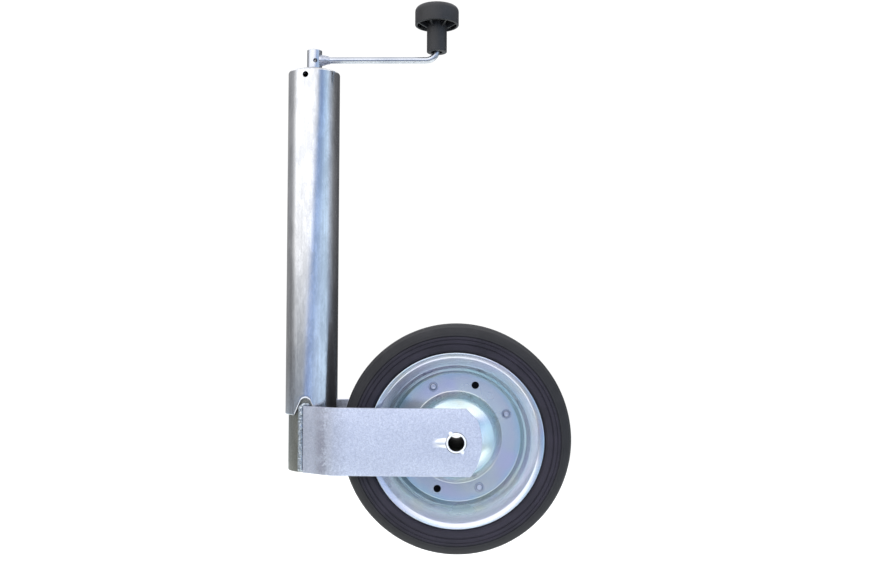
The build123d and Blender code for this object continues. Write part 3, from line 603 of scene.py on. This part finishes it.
def galvanised(name):
    """Hot-dip zinc: pale lilac-grey, sandy and mottled, with darker rubs and a few nicks."""
    material, tree, shader = finish(name, 0.85)
    sand = grain(tree, 900, (1, 1, 1), 4, 0.75)
    mottle = grain(tree, 430, (1, 1, 1), 5, 0.7)
    cloud = grain(tree, 22, (1, 1, 1.3), 3, 0.5)
    nick = ramp(tree, grain(tree, 95, (1, 1, 2.2), 6, 0.8), [(0.66, 0.0), (0.74, 1.0)])
    colour = ramp(tree, mottle, [(0.30, tint(194, 201, 223)), (0.66, tint(226, 231, 246))])
    colour = blend(tree, ramp(tree, sand, [(0.34, 0.55), (0.58, 0.0)]), colour, tint(158, 164, 184))
    colour = blend(tree, ramp(tree, cloud, [(0.35, 0.25), (0.6, 0.0)]), colour, tint(182, 188, 206))
    colour = blend(tree, times(tree, nick, 0.4), colour, tint(120, 124, 138))
    # painted shade: the zinc is painted darker near the tube, over the slanted leg and the bend, which turn
    # away from the light
    spot = add(tree, "SeparateXYZ", {0: add(tree, "TexCoord")["Object"]})
    ragged = add(tree, "Math", {0: mottle, 1: 0.020, 2: spot[0]}, operation="MULTIPLY_ADD")[0]
    painted_leg_shade = ramp(tree, between(tree, ragged, 0.020, 0.048), [(0.0, 0.34), (0.55, 0.24), (1.0, 0.0)])
    colour = blend(tree, painted_leg_shade, colour, tint(122, 123, 128))
    painted_bend_shade = ramp(tree, between(tree, ragged, 0.016, 0.036),
                 [(0.0, 0.0), (0.34, 0.46), (0.50, 0.46), (0.68, 0.0)])
    patchy = ramp(tree, grain(tree, 75, (1, 1, 1), 3), [(0.36, 0.15), (0.6, 1.0)])
    colour = blend(tree, times(tree, painted_bend_shade, patchy), colour, tint(112, 108, 122))
    # painted highlight: the pressed flute is painted near white, and its finish is smoother
    beside = add(tree, "Math", {0: spot[2], 1: -axle_z * 0.001}, operation="ADD")[0]
    beside = add(tree, "Math", {0: beside}, operation="ABSOLUTE")[0]
    flute = between(tree, beside, flute_half * 0.001, flute_half * 0.0008)
    near = between(tree, spot[0], (axle_x - flute_to) * 0.001, (axle_x - flute_to + 5) * 0.001)
    past = between(tree, spot[0], (axle_x - 7) * 0.001, (axle_x - 9) * 0.001)
    flute_highlight_and_gloss = times(tree, times(tree, flute, near), past)
    colour = blend(tree, flute_highlight_and_gloss, colour, tint(250, 251, 255))
    tree.links.new(colour, shader.inputs["Base Color"])
    rough = ramp(tree, sand, [(0.3, 0.60), (0.7, 0.46)])
    tree.links.new(blend(tree, flute_highlight_and_gloss, rough, tint(150, 150, 150)), shader.inputs["Roughness"])
    relief(tree, shader, (sand, 0.05), (mottle, 0.12), (cloud, 0.10))
    return material


arm_zinc = galvanised("mottled_galvanised_bar")
# painted shade: the hole in each bar and the bore of the hollow axle are painted near black
bore_shading, tree, shader = finish("painted_bore_shade", 0.2)
film = grain(tree, 300, (1, 0.4, 1), 4)
two_tone(tree, shader, film, (14, 15, 13), (34, 37, 31), (0.8, 0.6))
relief(tree, shader, (film, 0.03))
tip = [(p.x, p.y) for p in three_point((18.6, 20), (22.8, 1.5), (12.6, -arm_half), 28)]
outline = [(0, -arm_half), (0, arm_half), (along_at(axle_x + 8.8), arm_half)]
outline += [(along_at(axle_x + x), z) for x, z in tip]
for name, node, hand in (("fork_bar_front", "fork_arm_front", 1), ("fork_bar_rear", "fork_arm_rear", -1)):
    work = bmesh.new()
    face = work.faces.new([work.verts.new((s * 0.001, 0, z * 0.001)) for s, z in outline])
    grown = bmesh.ops.extrude_face_region(work, geom=[face])["geom"]
    for v in grown:
        if isinstance(v, bmesh.types.BMVert):
            v.co.y += arm_thick * 0.001
    work.normal_update()
    edges = [e for e in work.edges if abs(e.calc_face_angle(0)) > radians(60)
             and abs(e.verts[0].co.y - e.verts[1].co.y) < 1e-6]
    bmesh.ops.bevel(work, geom=edges, offset=0.00065, segments=4, profile=0.5, affect="EDGES",
                    clamp_overlap=True)
    cuts = [(leg + curl * k / 8, None) for k in range(9)]
    cuts += [(along_at(axle_x - flute_to - 1 + k * 0.75), None) for k in range(20)]
    cuts += [(None, -5.4 + k * 0.6) for k in range(19)]
    for s, z in cuts:
        where, way = ((s * 0.001, 0, 0), (1, 0, 0)) if z is None else ((0, 0, z * 0.001), (0, 0, 1))
        bmesh.ops.bisect_plane(work, geom=work.verts[:] + work.edges[:] + work.faces[:], plane_co=where,
                               plane_no=way)
    for v in work.verts:
        s, out, z = (c * 1000 for c in v.co)
        run = flute_to - (along_at(axle_x) - s)
        if out > arm_thick - 0.01 and 0 < run < flute_to:
            round_r = (flute_half ** 2 + flute_rise ** 2) / (2 * flute_rise)
            rise = flute_rise * min(run / (flute_to - flute_from), 1) - z * z / (2 * round_r)
            out += max(0.0, rise)
        x, y = bent(s, out)
        v.co = Vector((x, y * hand, axle_z + z)) * 0.001
    bmesh.ops.recalc_face_normals(work, faces=work.faces)
    mesh = bpy.data.meshes.new(name)
    work.to_mesh(mesh)
    work.free()
    arm = bpy.data.objects.new(name, mesh)
    scene.collection.objects.link(arm)
    worked(arm, [bar("axle_drill", (axle_x, -60, axle_z), (axle_x, 60, axle_z), hole_r, 0, 96)], crease=26)
    fitted(arm, arm_zinc, "fork_body", node)
    # painted shade for the axle hole
    arm.data.materials.append(bore_shading)
    for face in arm.data.polygons:
        if hypot(face.center.x * 1000 - axle_x, face.center.z * 1000 - axle_z) < hole_r + 0.06:
            face.material_index = 1

# ---------------------------------------------------------------- fork welds
# An upright bead on each side joins the bar's end to the sliding tube. The welder worked upwards,
# so the bead is a stack of small ripples, and it turns over the bar's top corner into the notch.
bead_zinc = weld_metal("galvanised_fork_bead", (112, 120, 124), (206, 214, 224))


def together(name, pieces):
    """One piece from several separate bodies."""
    work = bmesh.new()
    for piece in pieces:
        work.from_mesh(piece.data)
        bpy.data.objects.remove(piece)
    mesh = bpy.data.meshes.new(name)
    work.to_mesh(mesh)
    work.free()
    mesh.set_sharp_from_angle(angle=radians(32))
    whole = bpy.data.objects.new(name, mesh)
    scene.collection.objects.link(whole)
    return whole


for name, node, hand in (("fork_bead_front", "fork_weld_front", -1),
                         ("fork_bead_rear", "fork_weld_rear", 1)):
    weld_low, weld_high = extent(node)
    bead_r, bead_x, bead_y, ripple_deep, ripple_long = 3.1, -5.7, 22.04, 0.16, 2.6
    path, radii, z = [], [], weld_low.z + 0.05
    while z < weld_high.z - 0.04:
        end = min(z - weld_low.z, weld_high.z - z)
        ripple = ripple_deep * abs(sin(pi * (z - weld_low.z) / ripple_long))
        radii.append((bead_r - 0.28 + ripple) * sqrt(1 - max(0, 1 - end / bead_r) ** 2))
        path.append(Vector((bead_x + 0.18 * noise.noise(Vector((0, hand, z * 0.12))), hand * bead_y, z)))
        z += 0.32
    run = swept("run", path, radii, 36, knobbly(0.30, 0.5))
    over = [(-5.3, -152.6, 2.1), (-4.9, -151.2, 2.3), (-4.0, -149.9, 2.35), (-2.7, -149.1, 2.2),
            (-1.3, -148.8, 2.0), (0.2, -148.9, 1.7), (1.5, -149.1, 1.3), (2.2, -149.2, 0.7)]
    cap_run = swept("run", [Vector((x, hand * 21.7, z)) for x, z, r in over], [r for x, z, r in over], 28,
                    knobbly(0.35, 0.6))
    bead = together(name, [run, cap_run])
    fitted(bead, bead_zinc, "fork_body", node)

# ---------------------------------------------------------------- axle
# A hollow steel axle pushed through both bars and kept there by two ears staked out over each
# bar's face. Thin washers fill the space between the bars and the hub.
axle_half = extent("wheel_axle")[1].y
axle_r, axle_bore, ear_at, ear_r = 9.0, 7.25, 9.7, 1.8


def staked(radius, height, turn):
    """Swell the axle's end where it has been struck with a punch."""
    if abs(height) < face_y + 0.01 or radius < 8:
        return radius, height
    swell = 0.0
    for ear in (121, 305):
        off = (turn - radians(ear) + pi) % (2 * pi) - pi
        if abs(off) < pi / 2 and abs(ear_at * sin(off)) < ear_r:
            swell = max(swell, ear_at * cos(off) + sqrt(ear_r ** 2 - (ear_at * sin(off)) ** 2) - axle_r)
    slope = 1 - 0.25 * (abs(height) - face_y)
    return radius + swell * slope, height


half_line = [(axle_bore, 0), (axle_bore, axle_half, 0.25), (axle_r, axle_half, 0.45),
             (axle_r, face_y + 0.05), (axle_r, face_y - 0.05), (axle_r, 0)]
half_line = rounded(half_line, closed=False, steps=5)
axle_line = half_line[:-1] + [Vector((p.x, -p.y)) for p in half_line[:0:-1]]
axle = turned("staked_axle", axle_line, 192, (axle_x, axle_z), staked)
axle_zinc = zinc("axle_zinc", (1, 1, 1), (253, 253, 254), (238, 240, 245), 0.24, 1.2, 0.02)
axle_zinc.node_tree.nodes["Principled BSDF"].inputs["Metallic"].default_value = 0.4
fitted(axle, axle_zinc, "fork_body", "wheel_axle")
# painted shade inside the hollow axle's bore
axle.data.materials.append(bore_shading)
for face in axle.data.polygons:
    if hypot(face.center.x * 1000 - axle_x, face.center.z * 1000 - axle_z) < axle_bore + 0.06:
        face.material_index = 1

washer_low, washer_high = extent("axle_washers")
washer_r, washer_thick = (washer_high.x - washer_low.x) / 2, 1.5
pair = []
for y in (washer_low.y, washer_high.y - washer_thick):
    pair.append(turned("washer", rounded([(axle_r, y, 0.1), (washer_r, y, 0.25),
                                          (washer_r, y + washer_thick, 0.25),
                                          (axle_r, y + washer_thick, 0.1)], steps=3), 96, (axle_x, axle_z)))
washers = together("axle_washer_pair", pair)
fitted(washers, small_zinc, "fork_body", "axle_washers")

# ---------------------------------------------------------------- hub
# A short steel tube through the wheel, with a white nylon bush pressed into each end as the
# wheel's bearing.
hub_low, hub_high = extent("hub_tube")
hub_r, bush_bore, bush_r, flange_r = (hub_high.x - hub_low.x) / 2, 9.05, 12.5, 14.5
hub = turned("hub_sleeve", rounded([(bush_r, hub_low.y, 0.2), (hub_r, hub_low.y, 0.3),
                                    (hub_r, hub_high.y, 0.3), (bush_r, hub_high.y, 0.2)], steps=3), 96,
             (axle_x, axle_z))
fitted(hub, small_zinc, "wheel_body", "hub_tube")

nylon, tree, shader = finish("turned_nylon", 0.0, Subsurface_Weight=0.25, Subsurface_Scale=0.002)
cloud = grain(tree, 160, (1, 1, 1), 3)
two_tone(tree, shader, cloud, (214, 210, 198), (232, 229, 220), (0.48, 0.38))
relief(tree, shader, (grain(tree, 1600, (1, 3, 1), 2), 0.01))
for name, node, hand in (("bush_front", "hub_bush_front", -1), ("bush_rear", "hub_bush_rear", 1)):
    bush_low, bush_high = extent(node)
    near, far = sorted((abs(bush_low.y), abs(bush_high.y)))
    line = rounded([(bush_bore, near, 0.4), (bush_r, near, 0.6), (bush_r, hub_high.y),
                    (flange_r, hub_high.y, 0.2), (flange_r, far, 0.5), (bush_bore, far, 0.5)], steps=4)
    bush = turned(name, [Vector((p.x, hand * p.y)) for p in line], 96, (axle_x, axle_z))
    fitted(bush, nylon, "wheel_body", node)

# ---------------------------------------------------------------- wheel halves
# Two dished halves pressed from 2 mm sheet and riveted together at their flat rings. The zinc is
# blue passivated, so its colour drifts between teal, lilac and a straw yellow in the bends.
rim_low, rim_high = extent("rim_disc_front")
rim_r = (rim_high.x - rim_low.x) / 2
sheet_line = [(16, 29), (16, 20.5, 1.6), (26, 17.6, 24), (35, 11.6, 9), (41.6, 1, 2.4), (60.2, 1, 2),
              (62.8, 8.4, 1.6), (65, 10.2, 1.6), (rim_r - 12.2 + 1, 17.4, 3), (rim_r - 5.4 + 1, 24.6, 2.6),
              (rim_r - 1, 25.6)]
ring_r, drill_r = 50.9, 3.5
rivet_turns, drill_turns = (25, 115, 205, 295), ((70, 250), (160, 340))


def on_ring(turn):
    """Place on the riveted ring, from the axle."""
    return ring_r * cos(radians(turn)), ring_r * sin(radians(turn))


def about_axle(tree):
    """Place from the axle, the same in the wheel's plane only, and the distance from the axle."""
    place = add(tree, "VectorMath", {0: add(tree, "TexCoord")["Object"],
                                     1: (axle_x * 0.001, 0, axle_z * 0.001)}, operation="SUBTRACT")[0]
    flat = add(tree, "VectorMath", {0: place, 1: (1, 0, 1)}, operation="MULTIPLY")[0]
    return place, flat, add(tree, "VectorMath", {0: flat}, operation="LENGTH")["Value"]


def sheet(line, back=False):
    """Both faces of a sheet from its middle line, or its back face only."""
    faces = []
    for hand in (1, -1):
        side = []
        for i, here in enumerate(line):
            ahead = (line[min(i + 1, len(line) - 1)] - line[max(i - 1, 0)]).normalized()
            side.append(here + Vector((ahead.y, -ahead.x)) * hand)
        faces.append(side)
    if back:
        return faces[0]
    first, last = line[0], line[-1]
    nose = (last - line[-2]).normalized()
    tail = (first - line[1]).normalized()
    ends = []
    for end, way, side in ((last, nose, 1), (first, tail, -1)):
        across = Vector((way.y, -way.x))
        ends.append([end + across * cos(t) + way * sin(t) for t in (0.5, 1.1, pi / 2, pi - 1.1, pi - 0.5)])
    return faces[0] + ends[0] + faces[1][::-1] + ends[1]


middle_line = rounded(sheet_line, closed=False, steps=7)
blue_zinc, tree, shader = finish("blue_passivated_zinc", 0.88)
place, flat, from_axle = about_axle(tree)
drift = grain(tree, 16, (1, 1, 1), 3, 0.55)
wander = add(tree, "Math", {0: drift, 1: 0.020, 2: from_axle}, operation="MULTIPLY_ADD")[0]
bands = between(tree, wander, 0.016, 0.094)
# painted highlight: the sheet is painted paler towards the axle, nearly white over the dome; the teal, lilac
# and straw bands are the passivation's own colour
hue = ramp(tree, bands, [(0.06, tint(244, 250, 252)), (0.22, tint(243, 252, 254)),
                         (0.30, tint(222, 240, 242)), (0.39, tint(208, 232, 236)),
                         (0.44, tint(208, 213, 214)), (0.60, tint(211, 212, 216)),
                         (0.70, tint(192, 216, 224)), (0.78, tint(214, 224, 234)),
                         (0.88, tint(220, 222, 238)), (0.97, tint(206, 226, 236))])
straw = ramp(tree, grain(tree, 34, (1, 1, 1), 2, 0.5), [(0.52, 0.0), (0.70, 0.5)])
hue = blend(tree, straw, hue, tint(228, 226, 206))
lilac = ramp(tree, grain(tree, 27, (1, 1.4, 1), 2, 0.5), [(0.50, 0.0), (0.68, 0.55)])
hue = blend(tree, lilac, hue, tint(212, 204, 232))
speck = grain(tree, 1700, (1, 1, 1), 3, 0.6)
hue = blend(tree, ramp(tree, speck, [(0.32, 0.22), (0.55, 0.0)]), hue, tint(150, 160, 178))
# painted shade: near black on the other half's sheet at the bottom of the two blind holes
sheet_deep = add(tree, "Math", {0: add(tree, "SeparateXYZ", {0: place})[1]}, operation="ABSOLUTE")[0]
for turn in drill_turns[0] + drill_turns[1]:
    x, z = on_ring(turn)
    off = add(tree, "VectorMath", {0: flat, 1: (x * 0.001, 0, z * 0.001)}, operation="DISTANCE")["Value"]
    hole_floor_shade = between(tree, off, (drill_r + 0.2) * 0.001, (drill_r - 0.2) * 0.001)
    hole_floor_shade = times(tree, hole_floor_shade, between(tree, sheet_deep, 0.0019, 0.0017))
    hue = blend(tree, hole_floor_shade, hue, tint(8, 8, 9))
tree.links.new(hue, shader.inputs["Base Color"])
spun = add(tree, "CombineXYZ", {0: from_axle})[0]
rings = grain(tree, 1800, (1, 1, 1), 2, 0.6, spun)
tree.links.new(ramp(tree, drift, [(0.3, 0.29), (0.7, 0.20)]), shader.inputs["Roughness"])
relief(tree, shader, (speck, 0.010), (rings, 0.026), (drift, 0.15))
for name, node, hand, turns in (("wheel_half_front", "rim_disc_front", -1, drill_turns[0]),
                                ("wheel_half_rear", "rim_disc_rear", 1, drill_turns[1])):
    disc = turned(name, [Vector((p.x, hand * p.y)) for p in sheet(middle_line)], 256, (axle_x, axle_z))
    drills = []
    for turn in turns:
        x, z = on_ring(turn)
        drills.append(bar("wheel_drill", (axle_x + x, -8, axle_z + z), (axle_x + x, 8, axle_z + z),
                          drill_r))
    worked(disc, drills)
    fitted(disc, blue_zinc, "wheel_body", node)

rivet_zinc = zinc("struck_rivet_zinc", (1, 1, 1), (214, 218, 232), (176, 181, 200), 0.30, 1.6, 0.03)
heads = []
for turn in rivet_turns:
    x, z = on_ring(turn)
    side = [(2.2, 0), (2.2, 1.99), (4.3, 2.0), (4.3, 2.3), (4.05, 2.48), (3.4, 2.5), (3.15, 2.24),
            (2.8, 2.24), (2.5, 2.44), (1.3, 2.5), (1.0, 2.36), (0, 2.32)]
    line = [Vector(p) for p in side] + [Vector((r, -y)) for r, y in side[:0:-1]]
    heads.append(turned("rivet", line, 40, (axle_x + x, axle_z + z)))
rivets = together("ring_rivets", heads)
fitted(rivets, rivet_zinc, "wheel_body", "disc_rivets")
# painted shade: darker zinc in the ring groove and round the outer edge of each rivet head
rivet_shade_zinc = zinc("rivet_painted_shade_zinc", (1, 1, 1), (120, 128, 146), (92, 99, 116), 0.45, 1.6, 0.03)
rivets.data.materials.append(rivet_shade_zinc)
for face in rivets.data.polygons:
    x, z = face.center.x * 1000 - axle_x, face.center.z * 1000 - axle_z
    off = min(hypot(x - on_ring(turn)[0], z - on_ring(turn)[1]) for turn in rivet_turns)
    if 2.5 < off < 3.15 or off > 4.02:
        face.material_index = 1

# ---------------------------------------------------------------- tyre
# A solid rubber tyre gripped between the two halves. The mould leaves fine rings on its side
# walls, a step under the shoulder and a rounded tread.
rubber, tree, shader = finish("solid_black_rubber", 0.0, Specular_IOR_Level=0.35)
place, flat, from_axle = about_axle(tree)
spun = add(tree, "CombineXYZ", {0: from_axle})[0]
lathe_marks = grain(tree, 1500, (1, 1, 1), 3, 0.6, spun)
bloom = grain(tree, 55, (1, 1, 1), 5, 0.65)
dust = grain(tree, 1900, (1, 1, 1), 3, 0.6)
# the side walls' purple tint is partly painted light, the bluish light from the right, over the rubber's own
# dark grey
wall_colour_and_blue_light = ramp(tree, bloom, [(0.32, tint(30, 28, 38)), (0.68, tint(45, 42, 54))])
tread_colour = ramp(tree, bloom, [(0.32, tint(28, 28, 31)), (0.68, tint(42, 42, 45))])
shoulder = between(tree, from_axle, 0.0925, 0.0950)
colour = blend(tree, shoulder, wall_colour_and_blue_light, tread_colour)
colour = blend(tree, ramp(tree, lathe_marks, [(0.38, 0.6), (0.55, 0.0)]), colour, tint(14, 13, 18))
colour = blend(tree, ramp(tree, dust, [(0.60, 0.0), (0.72, 0.30)]), colour, tint(74, 73, 80))
tree.links.new(colour, shader.inputs["Base Color"])
tree.links.new(ramp(tree, bloom, [(0.3, 0.62), (0.7, 0.78)]), shader.inputs["Roughness"])
relief(tree, shader, (lathe_marks, 0.05), (dust, 0.03), (bloom, 0.08))

tyre_r = (tyre_high.x - tyre_low.x) / 2
seat = [p for p in sheet(middle_line, back=True) if p.x > 67.4]
wall = [(rim_r + 0.5, 24.9), (rim_r + 1.2, 26.8, 0.6), (81.6, 28.3, 0.8), (86.3, 28.85, 0.3),
        (87.0, 27.9, 0.2), (87.7, 28.95, 0.3), (90.2, 29.0, 0.3), (90.8, 28.2, 0.2), (91.4, 28.95, 0.3),
        (92.8, 28.9, 0.3), (93.6, 27.4, 0.2), (94.5, 28.2, 0.6), (97.8, 26.6, 6.0), (101.8, 23.2, 6.0),
        (104.2, 16.5, 12.0), (104.9, 9.0, 20.0), (tyre_r, 0)]
half_line = seat + rounded([tuple(seat[-1])] + wall, closed=False, steps=4)[1:]
half_line = [Vector((seat[0].x, 0))] + half_line
tyre_line = half_line + [Vector((p.x, -p.y)) for p in half_line[-2:0:-1]]
tyre = turned("solid_tyre", tyre_line, 288, (axle_x, axle_z))
fitted(tyre, rubber, "wheel_body", "tyre")

# ---------------------------------------------------------------- floor, light and camera
# A plain pale sweep under a large soft box, in a bright room: a tall white window front left, a
# pale blue wall front right, and a darker room behind on the right. The jack hangs by its clamp
# tube, wound up, and the floor is where its wheel stands when it is wound right down.
mesh = bpy.data.meshes.new("floor_sweep")
work = bmesh.new()
bmesh.ops.create_circle(work, cap_ends=True, segments=96, radius=1.1)
work.to_mesh(mesh)
work.free()
ground = bpy.data.objects.new("floor_sweep", mesh)
travel = 0.200
ground.location = (0.1, 0.55, tyre_low.z * 0.001 - travel - 0.0002)
scene.collection.objects.link(ground)
paper, tree, shader = finish("white_paper", 0.0, Roughness=0.9, Specular_IOR_Level=0.1)
shade = blend(tree, add(tree, "LightPath")["Is Glossy Ray"],
              ramp(tree, grain(tree, 9, (1, 1, 1), 3), [(0.3, 0.86), (0.7, 0.88)]), tint(222, 226, 222))
tree.links.new(shade, shader.inputs["Base Color"])
mesh.materials.append(paper)

sky = bpy.data.worlds.new("studio_room")
sky.use_nodes = True
scene.world = sky
tree = sky.node_tree
way = add(tree, "TexCoord")["Generated"]
ahead = add(tree, "VectorMath", {0: way, 1: (0.1625, -0.9867, 0)}, operation="DOT_PRODUCT")["Value"]
aside = add(tree, "VectorMath", {0: way, 1: (0.9867, 0.1625, 0)}, operation="DOT_PRODUCT")["Value"]
round_it = add(tree, "Math", {0: aside, 1: ahead}, operation="ARCTAN2")[0]
round_it = add(tree, "Math", {0: round_it, 1: 1 / (2 * pi), 2: 0.5}, operation="MULTIPLY_ADD")[0]
height = add(tree, "Math", {0: add(tree, "SeparateXYZ", {0: way})[2]}, operation="ARCSINE")[0]
level = add(tree, "Math", {0: add(tree, "Math", {0: height, 1: -0.10}, operation="MAXIMUM")[0], 1: 0.24},
            operation="MINIMUM")[0]
tilted = add(tree, "Math", {0: level, 1: -0.4775, 2: round_it}, operation="MULTIPLY_ADD")[0]
raised = between(tree, height, -0.07, 0.10)


def room(factor, *stops):
    """Light round the room; each stop is an angle to the right of the front, halved, and a brightness."""
    return ramp(tree, factor, [(0.5 + angle / 180, tuple(c / 0.87 for c in tint(*value)[:3]) + (1,))
                               for angle, value in stops])


white = (300, 300, 300)
left_high = room(round_it, (-88, (150, 150, 150)), (-60, (150, 150, 152)), (-54, (160, 160, 161)),
                 (-47, (222, 222, 222)), (-40, white), (-6, white), (10, (250, 252, 255)))
left_low = room(round_it, (-88, (140, 140, 140)), (-60, (132, 132, 132)), (-53, (96, 96, 98)),
                (-45, (106, 107, 110)), (-36, (128, 134, 142)), (-22, (140, 148, 158)),
                (-10, (146, 156, 172)), (0, (160, 170, 190)))
right_high = room(round_it, (-10, (188, 208, 240)), (14, (196, 218, 246)), (30, (206, 230, 252)),
                  (38, (188, 197, 212)), (45, (150, 154, 158)), (53, (108, 108, 110)), (66, (88, 88, 90)),
                  (78, (88, 88, 90)), (88, (140, 140, 140)))
right_low = room(round_it, (-10, (180, 200, 235)), (12, (199, 220, 246)), (30, (206, 228, 248)),
                 (38, (92, 106, 128)), (45, (60, 65, 79)), (54, (46, 47, 50)), (72, (36, 36, 38)),
                 (84, (90, 90, 90)))
left_floor = room(round_it, (-88, (176, 188, 200)), (-60, (170, 184, 198)), (-40, (150, 160, 172)),
                  (-20, (150, 158, 170)), (0, (165, 175, 192)))
right_floor = room(round_it, (-10, (180, 200, 232)), (12, (196, 214, 238)), (30, (198, 218, 238)),
                   (45, (186, 206, 228)), (70, (190, 208, 228)), (88, (196, 210, 226)))
lowest = between(tree, height, -0.105, -0.150)
left = blend(tree, raised, blend(tree, lowest, left_low, left_floor), left_high)
right = blend(tree, raised, blend(tree, lowest, right_low, right_floor), right_high)
edge = ramp(tree, tilted, [(0.5 - 13 / 180, 0.0), (0.5 - 5 / 180, 1.0)])
both = blend(tree, edge, left, right)
band = ramp(tree, tilted, [(0.5 - 14 / 180, 1.0), (0.5 - 8 / 180, (0.48, 0.56, 0.72, 1)),
                           (0.5 - 3 / 180, (0.48, 0.56, 0.72, 1)), (0.5 + 4 / 180, (0.74, 0.80, 0.90, 1)),
                           (0.5 + 12 / 180, 1.0)])
both = blend(tree, 1.0, both, band, "MULTIPLY")
overhead = between(tree, height, 0.42, 0.62)
ceiling = ramp(tree, between(tree, height, 0.4, 1.4),
               [(0.0, (1.5, 1.5, 1.52, 1)), (0.45, (1.5, 1.5, 1.52, 1)), (0.75, (0.78, 0.80, 0.82, 1))])
both = blend(tree, overhead, both, ceiling)
below = between(tree, height, -0.18, -0.42)
both = blend(tree, below, both, (0.27, 0.28, 0.28, 1))
seen = add(tree, "LightPath")["Is Camera Ray"]
both = blend(tree, seen, both, (1.05, 1.05, 1.05, 1))
shown = tree.nodes["Background"]
tree.links.new(both, shown.inputs["Color"])
shown.inputs["Strength"].default_value = 1.0


def softbox(name, at, aim, size, power, colour):
    """A square soft light that points at a place and isn't mirrored in the metal."""
    lamp = bpy.data.lights.new(name, "AREA")
    lamp.shape, lamp.size, lamp.size_y = "RECTANGLE", size[0], size[1]
    lamp.energy, lamp.color = power, colour
    holder = bpy.data.objects.new(name, lamp)
    holder.location = at
    holder.rotation_euler = (Vector(aim) - Vector(at)).to_track_quat("-Z", "Y").to_euler()
    holder.visible_glossy = False
    scene.collection.objects.link(holder)


softbox("overhead_box", (0.1, 0.0, 1.5), (0.1, 0, -0.28), (2.0, 2.0), 38, (1, 1, 1))
softbox("front_left_box", (-0.9, -1.3, 0.7), (0.1, 0, -0.1), (1.0, 1.0), 9, (1, 0.99, 0.97))
softbox("right_box", (1.3, -1.0, 0.1), (0.1, 0, -0.12), (0.9, 1.2), 7, (0.80, 0.88, 1.0))

lens = bpy.data.cameras.new("view")
lens.lens, lens.sensor_width, lens.sensor_fit = 36.41, 36.0, "HORIZONTAL"
lens.clip_start, lens.clip_end = 0.05, 50
camera = bpy.data.objects.new("view", lens)
scene.collection.objects.link(camera)
look = Vector((-0.025, 1, 0.0233)).normalized()
level_right = look.cross(Vector((0, 0, 1))).normalized()
level_up = level_right.cross(look)
roll = radians(0.31)
up = level_up * cos(roll) - level_right * sin(roll)
right_way = level_right * cos(roll) + level_up * sin(roll)
aim = Matrix((right_way, up, -look)).transposed().to_4x4()
camera.matrix_world = Matrix.Translation((0.135, -0.820, -0.058)) @ aim
scene.camera = camera
scene.view_settings.view_transform = "Standard"
scene.view_settings.look = "None"
